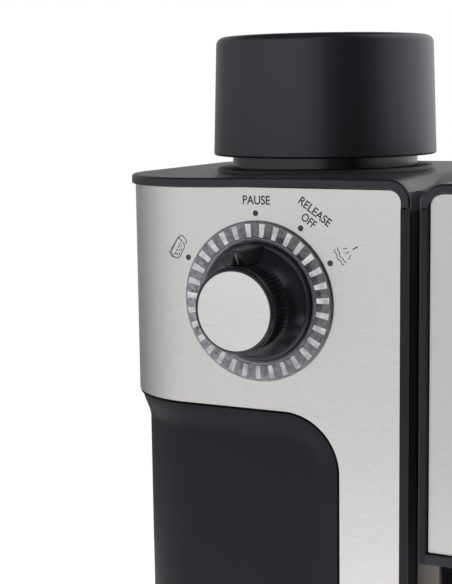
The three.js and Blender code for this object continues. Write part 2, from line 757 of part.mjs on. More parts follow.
function filterBasket() {
  return turned([
    [0, 133], [26.5, 133], [28.8, 135.5], [28.8, 154], [31.5, 154], [31.5, BOWL_TOP - 0.1], [28, BOWL_TOP - 0.1],
    [28, 136], [26, 133.8], [0, 133.8],
  ]);
}

// Thumb clip that holds the basket while the grounds are knocked out, folded back over the handle.
function basketClip() {
  const tip = CLIP_Y - 30;
  const lever = prism([[-6, tip, 5], [6, tip, 5], [6, CLIP_Y], [-6, CLIP_Y]], CLIP_Z + 1.4, CLIP_Z + 3);
  const knuckle = barX(3, -6, 6, CLIP_Y, CLIP_Z, 16);
  const pin = barX(1.4, -9.5, 9.5, CLIP_Y, CLIP_Z, 12);
  return join(lever, knuckle, pin);
}

function brewGroup(housing) {
  const group = groupAxis(housing);
  const casting = join(
    turned([[0, 158.6], [37.8, 158.6], [37.8, 172], [20, 176], [0, 176]]),
    post(7, 175, 186, 0, 0, 24),
  );
  add("brew_head", cut(casting, post(2.5, 150, 190, 0, 0, 12)), castAluminium, group);
  add("bayonet_ring", bayonetRing(), blackPlastic, group);
  add("head_gasket", tubeRing(34, 27.5, 155.7, 158.3), silicone, group);
  const screen = turned([[3.8, 153], [25.5, 153], [26.2, 154], [26.2, 158.3], [3.8, 158.3], [3.8, 153]], 40);
  add("shower_screen", screen, polishedSteel, group);
  const screw = turned([[0, 151], [5, 151], [5.5, 152.7], [3.4, 152.8], [3.4, 158.3], [0, 158.3]], 20);
  add("screen_screw", screw, polishedSteel, group);
  add("filter_bowl", filterBowl(), castAluminium, group);
  add("holder_handle", holderHandle(), blackPlastic, group);
  add("spout_block", spoutBlock(), blackPlastic, group);
  add("filter_basket", filterBasket(), polishedSteel, group);
  add("basket_clip", basketClip(), polishedSteel, group);
}

// ---- Drip tray ----

function dripTray(housing) {
  const left = GROOVE_RIGHT + 0.9;
  const right = HEAD_RIGHT - OVERHANG;
  const back = BAY_BACK - 1.5;
  const plan = (inset) => [
    [left + inset, back - inset, 2],
    [left + inset, TRAY_FRONT + inset, 6 - inset / 2],
    [right - inset, TRAY_FRONT + inset, 20 - inset],
    [right - inset, back - inset, 2],
  ];
  const bottom = SHELF_TOP + GAP;
  const tray = cut(
    prism(plan(0), bottom, TRAY_TOP),
    prism(plan(2), TRAY_TOP - 3, TRAY_TOP + 1),
    prism(plan(4), bottom + 2, TRAY_TOP + 1),
  );
  add("drip_tray", tray, blackPlastic, housing);
  let grid = prism(plan(2 + GAP), TRAY_TOP - 3 + GAP, TRAY_TOP - 0.8);
  const slots = 15;
  const pitch = (back - TRAY_FRONT - 34) / (slots - 1);
  for (let i = 0; i < slots; i += 1) {
    const y = TRAY_FRONT + 17 + pitch * i;
    const slot = (x0, x1) => block(x0, x1, y - 1.6, y + 1.6, 25, 40);
    grid = cut(grid, slot(left + 12, HEAD_X - 3), slot(HEAD_X + 3, right - 12));
  }
  add("drip_grid", grid, polishedSteel, housing);
}

// ---- Steam wand and pipes ----

function steamWand(housing) {
  const side = HEAD_RIGHT - OVERHANG;
  const socket = join(barX(11, side + GAP, side + 4, WAND_Y, WAND_Z), barX(7, 84, side + 3, WAND_Y, WAND_Z));
  add("wand_socket", socket, blackPlastic, housing);
  const hub = join(
    barX(9.5, side + 4 + GAP, HALF_WIDTH - 1.5, WAND_Y, WAND_Z),
    barX(8, side + 5, HALF_WIDTH, WAND_Y, WAND_Z),
  );
  add("wand_hub", hub, blackPlastic, housing);
  const tubeTop = WAND_Z - 10;
  const tube = [[0, tubeTop], [0, 180], [-3, 160], [-5, 145], [-5, 108]];
  const points = tube.map(([y, z]) => [WAND_X, WAND_Y + y, z]);
  add("wand_tube", pipe(points, 3, 24, 10), polishedSteel, housing);
  const grip = cut(
    turned([[0, 182], [5.6, 182], [6.4, 184], [6.4, 202], [5.6, 204], [0, 204]], 24),
    post(3 + GAP, 180, 206, 0, 0, 20),
  );
  add("wand_grip", solid(toGeometry(grip).translate(WAND_X, WAND_Y, 0)), rubber, housing);
  const sleeve = cut(
    turned([[0, 99], [4.5, 99], [6.2, 102], [6.8, 118], [6.2, 138], [5.4, 141], [0, 141]], 28),
    post(3 + GAP, 104, 142, 0, 0, 20),
    post(1.2, 98, 105, 0, 0, 10),
  );
  add("froth_sleeve", solid(toGeometry(sleeve).translate(WAND_X, WAND_Y - 5, 0)), blackPlastic, housing);
}

function pipes(housing) {
  const valveY = TOWER_FRONT + RIM_PROUD + 18;
  const side = TOWER_X + 13.6;
  const neckSide = TOWER_X + MOUTH_RADIUS + 3.2;
  const feed = [
    [side, valveY, 252],
    [side + 10, valveY, 253],
    [neckSide + 9, 36, 255],
    [neckSide + 10, BOILER_Y - 9, 255],
    [neckSide + 6, BOILER_Y - 1, 255],
    [neckSide, BOILER_Y, 255],
  ];
  add("feed_pipe", pipe(feed, 2.5, 20), copper, housing);
  const brew = [
    [side, valveY, 236],
    [side + 14, valveY + 2, 235],
    [-12, 30, 234],
    [10, 33, 234],
    [HEAD_X - 13, 31, 226],
    [HEAD_X - 2, 31, 214],
    [HEAD_X, HEAD_Y, 200],
    [HEAD_X, HEAD_Y, 186.4],
  ];
  add("brew_pipe", pipe(brew, 2.5, 34), copper, housing);
  const steam = [
    [side, valveY, 244],
    [side + 14, valveY, 245],
    [-12, 19, 247],
    [10, 18, 247],
    [50, 20, 242],
    [70, WAND_Y - 3, 224],
    [77, WAND_Y, WAND_Z + 1],
    [83.6, WAND_Y, WAND_Z],
  ];
  add("steam_pipe", pipe(steam, 2.5, 34), copper, housing);
  const terminal = cut(
    block(-90, -50, 88, 100, 5.8, 20),
    ...[-84, -74, -64].map((x) => block(x, x + 6, 87, 101, 12, 21)),
  );
  add("terminal_block", terminal, whiteCeramic, housing);
}

// ---- Assembly ----

const machine = new THREE.Group();
base(machine);
add("tower_shell", towerShell(), blackPlastic, machine);
add("dial_panel", dialPanel(), brushedSteel, machine);
add("head_shell", headShell(), blackPlastic, machine);
add("head_panel", headPanel(), brushedSteel, machine);
add("column_shell", columnShell(), blackPlastic, machine);
add("groove_strip", grooveStrip(), blackPlastic, machine);
add("rear_cover", rearCover(), blackPlastic, machine);
add("cable_gland", cableGland(), rubber, machine);
add("top_cover", topCover(), blackPlastic, machine);
dial(machine);
boiler(machine);
boilerCap(machine);
brewGroup(machine);
dripTray(machine);
steamWand(machine);
pipes(machine);

export default machine;
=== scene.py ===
"""The looks of a steam-pressure espresso machine, built round its CAD frame.

The scene is in metres. Pieces are made from numbers in millimetres.
"""

import json
from math import cos, hypot, pi, radians, sin, sqrt, tan

import bmesh
import bpy
from mathutils import Matrix, Vector


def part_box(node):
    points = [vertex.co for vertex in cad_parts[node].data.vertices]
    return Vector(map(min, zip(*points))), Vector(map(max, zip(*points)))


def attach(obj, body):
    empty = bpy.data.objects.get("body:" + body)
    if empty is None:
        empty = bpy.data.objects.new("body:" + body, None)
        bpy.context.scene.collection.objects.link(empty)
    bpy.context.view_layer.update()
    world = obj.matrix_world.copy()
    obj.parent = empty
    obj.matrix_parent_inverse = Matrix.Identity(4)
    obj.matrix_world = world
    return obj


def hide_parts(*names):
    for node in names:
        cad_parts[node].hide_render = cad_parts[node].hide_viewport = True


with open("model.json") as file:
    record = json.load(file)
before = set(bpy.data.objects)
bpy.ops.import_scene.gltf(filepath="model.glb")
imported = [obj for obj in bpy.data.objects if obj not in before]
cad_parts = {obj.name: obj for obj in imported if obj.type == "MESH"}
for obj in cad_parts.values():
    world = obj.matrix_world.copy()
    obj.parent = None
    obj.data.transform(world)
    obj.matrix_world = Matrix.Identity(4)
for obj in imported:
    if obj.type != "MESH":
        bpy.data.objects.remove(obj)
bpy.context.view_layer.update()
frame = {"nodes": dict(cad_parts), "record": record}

MM = 0.001


def box_mm(node):
    """The lowest and highest corner of a CAD node, in millimetres."""
    low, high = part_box(node)
    return low / MM, high / MM


def centre_of(node):
    low, high = box_mm(node)
    return (low + high) / 2


# ---- Camera, at the photograph's viewing angle ----

CAMERA_PLACE = Vector((0.1497, -0.4464, 0.3206))
CAMERA_YAW = radians(26.293)  # turned towards -X
CAMERA_PITCH = radians(8.141)  # looking down
CAMERA_ROLL = radians(-0.737)


def add_object(name, data):
    made = bpy.data.objects.new(name, data)
    bpy.context.scene.collection.objects.link(made)
    return made


def add_camera():
    data = bpy.data.cameras.new("camera")
    data.sensor_width = 36
    data.lens = 84.17
    data.shift_x = -0.0189
    data.shift_y = -0.0084
    data.clip_start = 0.01
    camera = add_object("camera", data)
    level = cos(CAMERA_PITCH)
    ahead = Vector((-level * sin(CAMERA_YAW), level * cos(CAMERA_YAW), -sin(CAMERA_PITCH)))
    right = ahead.cross(Vector((0, 0, 1))).normalized()
    up = right.cross(ahead)
    c, s = cos(CAMERA_ROLL), sin(CAMERA_ROLL)
    right, up = c * right + s * up, c * up - s * right
    turn = Matrix((right, up, -ahead)).transposed()
    camera.matrix_world = Matrix.Translation(CAMERA_PLACE) @ turn.to_4x4()
    bpy.context.scene.camera = camera


add_camera()
bpy.context.scene.view_settings.view_transform = "Standard"


# ---- Materials ----

NOISE_RANGE = (0.3, 0.7)  # most of the noise's values lie between these


def set_inputs(node, **values):
    """Sets a node's inputs by name, with _ for a space."""
    for name, value in values.items():
        node.inputs[name.replace("_", " ")].default_value = value
    return node


def add_node(tree, kind, **values):
    return set_inputs(tree.nodes.new("ShaderNode" + kind), **values)


def material(name, color, roughness, metallic=0.0, **extra):
    made = bpy.data.materials.new(name)
    made.use_nodes = True
    shader = made.node_tree.nodes["Principled BSDF"]
    set_inputs(shader, Base_Color=(*color, 1), Roughness=roughness, Metallic=metallic, **extra)
    return made


def grain(made, scale, strength, distance=0.00005, stretch=(1, 1, 1), rough=None, tint=None):
    """Adds fine relief from object-space noise, which can also vary the roughness and the tint."""
    tree = made.node_tree
    link = tree.links.new
    shader = tree.nodes["Principled BSDF"]
    place = add_node(tree, "TexCoord")
    stretched = add_node(tree, "Mapping", Scale=stretch)
    noise = add_node(tree, "TexNoise", Scale=scale, Detail=3)
    bump = add_node(tree, "Bump", Strength=strength, Distance=distance)
    link(place.outputs["Object"], stretched.inputs["Vector"])
    link(stretched.outputs["Vector"], noise.inputs["Vector"])
    link(noise.outputs["Fac"], bump.inputs["Height"])
    link(bump.outputs["Normal"], shader.inputs["Normal"])
    low, high = NOISE_RANGE
    if rough:
        spread = add_node(tree, "MapRange", From_Min=low, From_Max=high, To_Min=rough[0], To_Max=rough[1])
        link(noise.outputs["Fac"], spread.inputs["Value"])
        link(spread.outputs["Result"], shader.inputs["Roughness"])
    if tint:
        ramp = add_node(tree, "ValToRGB")
        for stop, position, color in zip(ramp.color_ramp.elements, NOISE_RANGE, tint):
            stop.position = position
            stop.color = (*color, 1)
        link(noise.outputs["Fac"], ramp.inputs["Fac"])
        link(ramp.outputs["Color"], shader.inputs["Base Color"])
    return made


def moulded(name, color, roughness, strength=0.12, scale=1500, **extra):
    """Black plastic with a fine mould texture."""
    return grain(material(name, color, roughness, **extra), scale, strength)


def brushed(name, color, roughness, spread, tint):
    """Steel with upright brush lines, which vary its roughness and its tint."""
    return grain(material(name, color, roughness, 1.0), 260, 0.05, 0.00002, (1, 1, 60), spread, tint)


def glazed(name, color, roughness, coat, scale, strength, tint):
    """The ring's glossy, mottled plastic."""
    made = material(name, color, roughness, Coat_Weight=1.0, Coat_Roughness=coat)
    return grain(made, scale, strength, 0.0001, tint=tint)


SHEEN = {"Specular_Tint": (0.98, 0.95, 1.12, 1)}  # a slight violet tint painted into the black plastic's reflections, for the colour of the studio's light
satin_black = moulded("satin_black", (0.0065, 0.006, 0.007), 0.4, **SHEEN)
band_black = moulded("band_black", (0.007, 0.0065, 0.0075), 0.45, Specular_IOR_Level=0.3, **SHEEN)
face_black = moulded("face_black", (0.012, 0.0115, 0.013), 0.36, 0.1, Specular_IOR_Level=0.7)
cover_black = moulded("cover_black", (0.0065, 0.006, 0.007), 0.33, 0.08, **SHEEN)
cap_black = moulded("cap_black", (0.0078, 0.0068, 0.0083), 0.27, 0.16, 1100, **SHEEN)
recess_black = moulded(
    "recess_black", (0.0075, 0.007, 0.009), 0.5, 0.12, 1800, Specular_IOR_Level=0.22, **SHEEN
)
notch_black = moulded("notch_black", (0.04, 0.038, 0.042), 0.35)
# grey, lighter than the strip's black plastic: painted light for the deep groove, which stays in shade
groove_painted_light = moulded("groove_painted_light", (0.17, 0.15, 0.135), 0.5)
gloss_black = material("gloss_black", (0.004, 0.004, 0.0045), 0.1)
knob_black = moulded("knob_black", (0.007, 0.006, 0.0075), 0.22, 0.04, **SHEEN)
steel = brushed(
    "brushed_steel", (0.66, 0.645, 0.63), 0.34, (0.3, 0.38), ((0.6, 0.587, 0.573), (0.75, 0.733, 0.717))
)
head_steel = brushed(
    "head_steel", (0.6, 0.588, 0.58), 0.34, (0.3, 0.38), ((0.54, 0.528, 0.52), (0.66, 0.647, 0.639))
)
disc_steel = brushed(
    "disc_steel", (0.73, 0.715, 0.71), 0.36, (0.33, 0.4), ((0.67, 0.655, 0.65), (0.83, 0.814, 0.808))
)
chrome = material("chrome", (0.72, 0.72, 0.72), 0.12, 1.0)
aluminium = grain(material("cast_aluminium", (0.5, 0.5, 0.51), 0.42, 1.0), 900, 0.2)
brass = material("brass", (0.62, 0.43, 0.17), 0.3, 1.0)
copper = material("copper", (0.6, 0.28, 0.16), 0.3, 1.0)
rubber = grain(material("rubber", (0.012, 0.012, 0.012), 0.75), 1200, 0.2)
silicone = material("silicone", (0.35, 0.07, 0.035), 0.55)
board_green = material("board_green", (0.02, 0.11, 0.045), 0.4)
ceramic = material("ceramic", (0.72, 0.69, 0.62), 0.5)
ring_body = glazed(
    "ring_body", (0.07, 0.068, 0.078), 0.14, 0.05, 600, 0.3, ((0.03, 0.029, 0.035), (0.11, 0.107, 0.12))
)
ring_bar = glazed(
    "ring_bar", (0.7, 0.71, 0.73), 0.16, 0.04, 330, 0.2, ((0.4, 0.4, 0.43), (0.9, 0.91, 0.92))
)
ring_lip = glazed(
    "ring_lip", (0.12, 0.117, 0.13), 0.12, 0.03, 500, 0.2, ((0.08, 0.078, 0.09), (0.16, 0.157, 0.17))
)
ring_wall = material("ring_wall", (0.05, 0.048, 0.055), 0.06, Coat_Weight=1.0, Coat_Roughness=0.02)
# near-black and rough: painted shadow for the gap under the steel's edge
painted_gap_shadow = material("painted_gap_shadow", (0.0015, 0.0015, 0.002), 0.7, Specular_IOR_Level=0.1)
ink = material("ink", (0.03, 0.03, 0.033), 0.5)
pale_mark = material("pale_mark", (0.17, 0.17, 0.18), 0.4)

SLOT_LOOK = {  # for the CAD nodes that no piece stands for
    "gloss_black": gloss_black, "polished_steel": chrome, "cast_aluminium": aluminium, "brass": brass,
    "copper_pipe": copper, "silicone": silicone, "circuit_board": board_green, "ceramic": ceramic,
}
node_slot = {row["node"]: row["material_slot"] for row in frame["record"]["subparts"]}


# ---- Geometry helpers, in millimetres ----


def new_piece(name, verts, faces, look, angle=32):
    """A mesh piece from points in millimetres, smooth except where it turns by more than the angle."""
    mesh = bpy.data.meshes.new(name)
    mesh.from_pydata([Vector(v) * MM for v in verts], [], faces)
    work = bmesh.new()
    work.from_mesh(mesh)
    bmesh.ops.remove_doubles(work, verts=work.verts, dist=1e-7)
    bmesh.ops.recalc_face_normals(work, faces=work.faces)
    work.to_mesh(mesh)
    work.free()
    return dressed(name, mesh, look, angle)


def shade(piece, angle=32):
    piece.data.shade_smooth()
    piece.data.set_sharp_from_angle(angle=radians(angle))


def paint(mesh, look):
    mesh.materials.clear()
    mesh.materials.append(look)


def dressed(name, mesh, look, angle=32):
    paint(mesh, look)
    piece = add_object(name, mesh)
    shade(piece, angle)
    return piece


def as_mesh(made):
    """The mesh that a curve or text object gives; the object itself is removed."""
    bpy.context.view_layer.update()
    mesh = bpy.data.meshes.new_from_object(made.evaluated_get(bpy.context.evaluated_depsgraph_get()))
    bpy.data.objects.remove(made)
    return mesh


def ease(value):
    """A smooth step that goes from 0 to 1 as the value does."""
    t = min(max(value, 0), 1)
    return t * t * (3 - 2 * t)


def rounded(corners, closed=True, steps=8):
    """Points along an outline through corners (x, y, radius), each corner rounded to its radius."""
    points = []
    for i, (x, y, radius) in enumerate(corners):
        if radius <= 0 or (not closed and i in (0, len(corners) - 1)):
            points.append((x, y))
            continue
        here = Vector((x, y))
        before = (Vector(corners[i - 1][:2]) - here).normalized()
        after = (Vector(corners[(i + 1) % len(corners)][:2]) - here).normalized()
        half = before.angle(after) / 2
        centre = here + (before + after).normalized() * (radius / sin(half))
        spoke = here + before * (radius / tan(half)) - centre
        sweep = (pi - 2 * half) * (1 if before.cross(after) < 0 else -1)
        for k in range(steps + 1):
            c, s = cos(sweep * k / steps), sin(sweep * k / steps)
            points.append((centre.x + c * spoke.x - s * spoke.y, centre.y + s * spoke.x + c * spoke.y))
    return points


def wrapped(rows, count, first=0):
    """The faces between rows of points that each go all the way round."""
    faces = []
    for row in range(first, first + (rows - 1) * count, count):
        for k in range(count):
            j = (k + 1) % count
            faces.append([row + k, row + j, row + count + j, row + count + k])
    return faces


def to_axis(axis, a, b, h):
    """A point whose height h runs along the axis."""
    return {"Z": (a, b, h), "Y": (a, h, b), "-Y": (a, -h, b), "X": (h, a, b)}[axis]


def lathe(name, corners, look, centre, axis="Z", sides=96, loop=False, steps=8):
    """A body of revolution through rounded corners (radius, height, rounding), about a centre."""
    verts, rings, faces = [], [], []
    for r, h in rounded(corners, loop, steps):
        count = 1 if r < 1e-6 else sides
        rings.append(range(len(verts), len(verts) + count))
        for k in range(count):
            turn = 2 * pi * k / sides
            verts.append(Vector(to_axis(axis, r * cos(turn), r * sin(turn), h)) + Vector(centre))
    pairs = list(zip(rings, rings[1:]))
    if loop:
        pairs.append((rings[-1], rings[0]))
    for low, high in pairs:
        for k in range(sides):
            face = [low[k % len(low)], low[(k + 1) % len(low)]]
            face += [high[(k + 1) % len(high)], high[k % len(high)]]
            face = list(dict.fromkeys(face))
            if len(face) > 2:
                faces.append(face)
    return new_piece(name, verts, faces, look)


def prism(name, outline, low, high, look, axis="Z"):
    """An outline carried from low to high along an axis."""
    count = len(outline)
    verts = [to_axis(axis, a, b, h) for h in (low, high) for a, b in outline]
    faces = [list(range(count)), list(range(count, 2 * count)), *wrapped(2, count)]
    return new_piece(name, verts, faces, look)


def bevel(piece, width, segments=3, angle=35):
    soft = piece.modifiers.new("soft_edges", "BEVEL")
    soft.width = width * MM
    soft.segments = segments
    soft.limit_method = "ANGLE"
    soft.angle_limit = radians(angle)
    soft.harden_normals = True
    return piece


def tube(name, points, radius, look):
    """A round tube along a smooth line through points."""
    data = bpy.data.curves.new(name, "CURVE")
    data.dimensions = "3D"
    data.bevel_depth = radius * MM
    data.bevel_resolution = 6
    data.use_fill_caps = True
    line = data.splines.new("BEZIER")
    line.bezier_points.add(len(points) - 1)
    for node, point in zip(line.bezier_points, points):
        node.co = Vector(point) * MM
        node.handle_left_type = node.handle_right_type = "AUTO"
    line.resolution_u = 12
    return dressed(name, as_mesh(add_object(name, data)), look, 50)


def refined(node, look, width, segments=2):
    """A copy of a CAD node with its flat faces whole and its edges softened."""
    mesh = bpy.data.meshes.new(node + "_looks")
    work = bmesh.new()
    work.from_mesh(frame["nodes"][node].data)
    bmesh.ops.remove_doubles(work, verts=work.verts, dist=2e-6)
    bmesh.ops.dissolve_limit(work, angle_limit=radians(0.5), verts=work.verts, edges=work.edges)
    work.to_mesh(mesh)
    work.free()
    if "custom_normal" in mesh.attributes:
        mesh.attributes.remove(mesh.attributes["custom_normal"])
    piece = dressed(node + "_looks", mesh, look)
    if width:
        bevel(piece, width, segments)
    return piece


def fix(piece, body, slot=None, *nodes):
    """The piece rides on a body and stands for CAD nodes, which it hides; the slot is not used."""
    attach(piece, body)
    if nodes:
        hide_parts(*nodes)


SHELL = ("housing", "black_plastic")
RING = ("housing", "clear_plastic")
KNOB = ("dial", "gloss_black")
CASTING = ("filter_holder", "cast_aluminium")
WAND = ("steam_wand", "black_plastic")


# ---- Places read from the frame ----

cover_low, cover_high = box_mm("top_cover")
tower_low, tower_high = box_mm("tower_shell")
panel_low, panel_high = box_mm("dial_panel")
head_low = box_mm("head_shell")[0]
knob, cap = centre_of("dial_knob"), centre_of("cap_shell")
cap_low, cap_high = box_mm("cap_shell")

TOP = 290.0  # upper face of the top cover
FACE = panel_low.y  # front of the steel
RIM = 3.6  # height of the top cover's rim
TOWER_FRONT = tower_low.y
HEAD_FRONT = head_low.y
GROOVE_LEFT = tower_high.x
GROOVE_RIGHT = head_low.x
DIAL_X, DIAL_Z = knob.x, knob.z
CAP_R = (cap_high.x - cap_low.x) / 2
CAP_AXIS = (cap.x, cap.y, 0)
FRONT = Vector((0, -1, 0))


# ---- Screw cap and filler neck ----


def add_cap():
    """The cap, with the dish on its top and the socket that holds the plug and valve."""
    foot, top = cap_low.z, cap_high.z
    dish, under = top - 1.2, top - 8
    socket, socket_foot, bore = 16, foot + 19, 6.3
    profile = [
        (0, dish, 0), (CAP_R - 14, dish, 2), (CAP_R - 10, top, 3), (CAP_R - 1.5, top, 3.2),
        (CAP_R, foot, 0.9), (CAP_R - 2.8, foot, 0.6), (CAP_R - 5, under, 3), (socket, under, 1),
        (socket, socket_foot, 0.5), (bore, socket_foot, 0), (bore, under, 0), (0, under, 0),
    ]
    cap = lathe("cap_looks", profile, cap_black, CAP_AXIS, sides=160, steps=10)
    fix(cap, "screw_cap", "black_plastic", "cap_shell")


def add_neck():
    low, high = box_mm("filler_neck")
    radius, foot, top = (high.x - low.x) / 2, low.z, high.z
    inner = radius - 3.8
    profile = [(inner, foot, 0), (radius, foot, 0), (radius, top, 0.6), (inner, top, 0.3)]
    neck = lathe("neck_looks", profile, gloss_black, CAP_AXIS, sides=160, loop=True)
    fix(neck, "housing", "gloss_black", "filler_neck")


# ---- Top cover ----

CORNER = 36.5  # plan radius of the cover's front corners
BACK_CORNER = 17
LEFT_SEAM = 280.3  # height where the rim's left end meets its band
RIGHT_SEAM = 281.9
LEFT_ROUND = 8.0  # outer radius of the rim where it turns down beside the groove
RIGHT_ROUND = 8.5
GROOVE_BACK = 8.4
DEEPEST_DIP = 4.5  # of the cover's face beside the groove
NOTCH_FOOT, NOTCH_TOP = 279.0, TOP - 4.9  # the walls end just under that
DROOP = 0.75  # how far the cover's left end hangs below its top
DROOP_START, DROOP_RUN = -50, 45  # the x where it starts, and how far it takes towards the left
DROOP_PLACES = (-50, -65, -80)  # extra points on the rim's front, where it droops
HEAD_RIM = 2.9  # height of the rim over the brew head's front, and width of the band below it


def droop(x):
    return DROOP * ease((DROOP_START - x) / DROOP_RUN)


def rim_height(x, y):
    """The rim is thinner at the brew head, and thickens from y = 20 to y = 70 along its side."""
    if x < 20:
        return RIM
    return HEAD_RIM + (RIM - HEAD_RIM) * ease((y - 20) / 50)


def rim_path():
    """(place, outward, inward across) along the middle of the rim, from seam to seam."""
    path = []
    left_x, right_x = GROOVE_LEFT - RIM / 2, GROOVE_RIGHT + HEAD_RIM / 2

    def turn_down(x, y, z, radius, side, angles, scale):
        for angle in angles:
            c, s = cos(angle), sin(angle)
            place = Vector((x + side * radius * c, y, z + radius * s))
            path.append((place, FRONT, scale * Vector((-side * c, 0, -s))))

    steps = 14
    radius = LEFT_ROUND - RIM / 2
    path.append((Vector((left_x, TOWER_FRONT, LEFT_SEAM)), FRONT, Vector((-1, 0, 0))))
    quarter = [pi / 2 * k / steps for k in range(steps + 1)]
    turn_down(left_x - radius, TOWER_FRONT, TOP - RIM / 2 - radius, radius, 1, quarter, 1)
    plan = [(x, TOWER_FRONT, 0) for x in (left_x - radius, *DROOP_PLACES)]
    plan += [(cover_low.x, TOWER_FRONT, CORNER), (cover_low.x, cover_high.y, BACK_CORNER)]
    plan += [(cover_high.x, cover_high.y, BACK_CORNER), (cover_high.x, HEAD_FRONT, CORNER)]
    plan += [(right_x + RIGHT_ROUND, HEAD_FRONT, 0)]
    line = rounded(plan, closed=False, steps=16)
    for i, (x, y) in enumerate(line[1:-1], 1):
        ahead = (Vector(line[i + 1]) - Vector(line[i - 1])).normalized()
        tall = rim_height(x, y)
        place = Vector((x, y, TOP - tall / 2 - droop(x)))
        path.append((place, Vector((-ahead.y, ahead.x, 0)), Vector((0, 0, -tall / RIM))))
    radius, scale = RIGHT_ROUND - HEAD_RIM / 2, HEAD_RIM / RIM
    middle = TOP - HEAD_RIM / 2 - radius
    turn_down(right_x + radius, HEAD_FRONT, middle, radius, -1, reversed(quarter), scale)
    path.append((Vector((right_x, HEAD_FRONT, RIGHT_SEAM)), FRONT, Vector((scale, 0, 0))))
    return path


def sweep(name, path, section, look):
    """A section of (depth, across) points carried along a path of (place, outward, across)."""
    verts = []
    for place, outward, across in path:
        verts += [place - outward * depth + across * side for depth, side in section]
    count = len(section)
    faces = [*wrapped(len(path), count), list(range(count)), list(range(len(verts) - count, len(verts)))]
    return new_piece(name, verts, faces, look)


def groove_drop(x, y):
    """How far the cover's face lies below its top at a point beside the groove."""
    if x < GROOVE_LEFT:
        run, radius = x - (GROOVE_LEFT - LEFT_ROUND), LEFT_ROUND
    elif x > GROOVE_RIGHT:
        run, radius = (GROOVE_RIGHT + RIGHT_ROUND) - x, RIGHT_ROUND
    else:
        run, radius = 1e3, LEFT_ROUND
    if run <= 0:
        return 0
    drop = min(DEEPEST_DIP, radius - sqrt(max(radius**2 - run**2, 0)))
    return drop * (1 - ease((y - 14) / 40))  # it fades away towards the back


def add_cover():
    half = RIM / 2
    section = rounded([(0, half, 0.7), (0, -half, 1.1), (6, -half, 0), (6, half, 0)], steps=6)
    fix(sweep("cover_rim", rim_path(), section, cover_black), *SHELL, "top_cover")
    inset = 0.8
    left, right, back = cover_low.x + inset, cover_high.x - inset, cover_high.y - inset
    left_front, right_front = TOWER_FRONT + inset, HEAD_FRONT + inset
    groove_left, groove_right = GROOVE_LEFT - 0.3, GROOVE_RIGHT + 0.3
    corners = [(left, back, BACK_CORNER - inset), (left, left_front, CORNER - inset)]
    corners += [(groove_left, left_front, 0), (groove_left, GROOVE_BACK, 0)]
    corners += [(groove_right, GROOVE_BACK, 0), (groove_right, right_front, 0)]
    corners += [(right, right_front, CORNER - inset), (right, back, BACK_CORNER - inset)]
    outline = rounded(corners, steps=16)
    slab = prism("cover_face", outline, TOP - RIM + 0.1, TOP - 0.01, face_black)
    work = bmesh.new()
    work.from_mesh(slab.data)
    cuts = [(GROOVE_LEFT - LEFT_ROUND + 0.55 * k, 0) for k in range(49)]  # across the dip at the groove
    cuts += [(x, 0) for x in range(-100, -48, 5)]  # across the droop
    cuts += [(0, y) for y in range(9, 60, 3)]  # along the dip
    for x, y in cuts:
        parts = list(work.verts) + list(work.edges) + list(work.faces)
        normal = (0, 1, 0) if y else (1, 0, 0)
        bmesh.ops.bisect_plane(work, geom=parts, plane_co=Vector((x, y, 0)) * MM, plane_no=normal)
    bmesh.ops.triangulate(work, faces=[f for f in work.faces if len(f.verts) > 4])
    for vert in work.verts:
        x, y = vert.co.x / MM, vert.co.y / MM
        vert.co.z -= (groove_drop(x, y) + droop(x)) * MM
    work.to_mesh(slab.data)
    work.free()
    shade(slab, 40)
    fix(slab, *SHELL)
    add_boss()
    add_notch()


def add_boss():
    """The low round step under the filler neck."""
    inner, outer, top = 30, 43.0, TOP + 1.3
    profile = [(inner, top, 0), (outer, top, 0.5), (outer + 0.5, TOP - 0.1, 0), (inner, TOP - 1.5, 0)]
    boss = lathe("cover_boss", profile, band_black, CAP_AXIS, sides=160, loop=True)
    for vert in boss.data.vertices:
        vert.co.z -= droop(vert.co.x / MM) * MM
    fix(boss, *SHELL)


def add_notch():
    """The cover's walls round the top of the groove, a little proud of the shells'."""
    proud, thick, set_back = 0.15, 1.4, 0.6
    left, right, back = GROOVE_LEFT + proud, GROOVE_RIGHT - proud, GROOVE_BACK - proud
    left_front, right_front = TOWER_FRONT + set_back, HEAD_FRONT + set_back
    outline = [(left, left_front), (left, back), (right, back), (right, right_front)]
    outline += [(right + thick, right_front), (right + thick, back + thick)]
    outline += [(left - thick, back + thick), (left - thick, left_front)]
    fix(prism("cover_notch", outline, NOTCH_FOOT, NOTCH_TOP, notch_black), *SHELL)


# ---- Tower ----

RECESS_TOP = 204.0
RECESS_RIGHT = -30.8
RECESS_ROUND = 22.0
RECESS_RUN = 12.0  # how far the black face slopes in from the steel's edge
RECESS_EDGE = 0.95  # how far the black face lies behind the steel at the steel's edge
RECESS_INSET = 4.1  # and past its slope
STEEL_CORNER = 35.0  # plan radius of the steel's left corner


def recess_depth(along, z, end):
    """Depth of the tower's black face behind the steel, at a distance along the steel's plan line."""
    in_x, in_z = end - along, RECESS_TOP - z
    if in_x < RECESS_ROUND and in_z < RECESS_ROUND:
        inside = RECESS_ROUND - hypot(RECESS_ROUND - in_x, RECESS_ROUND - in_z)
    else:
        inside = min(in_x, in_z)
    return RECESS_EDGE + (RECESS_INSET - RECESS_EDGE) * ease(inside / RECESS_RUN)


def heading(line, i):
    return (line[min(i + 1, len(line) - 1)] - line[max(i - 1, 0)]).normalized()


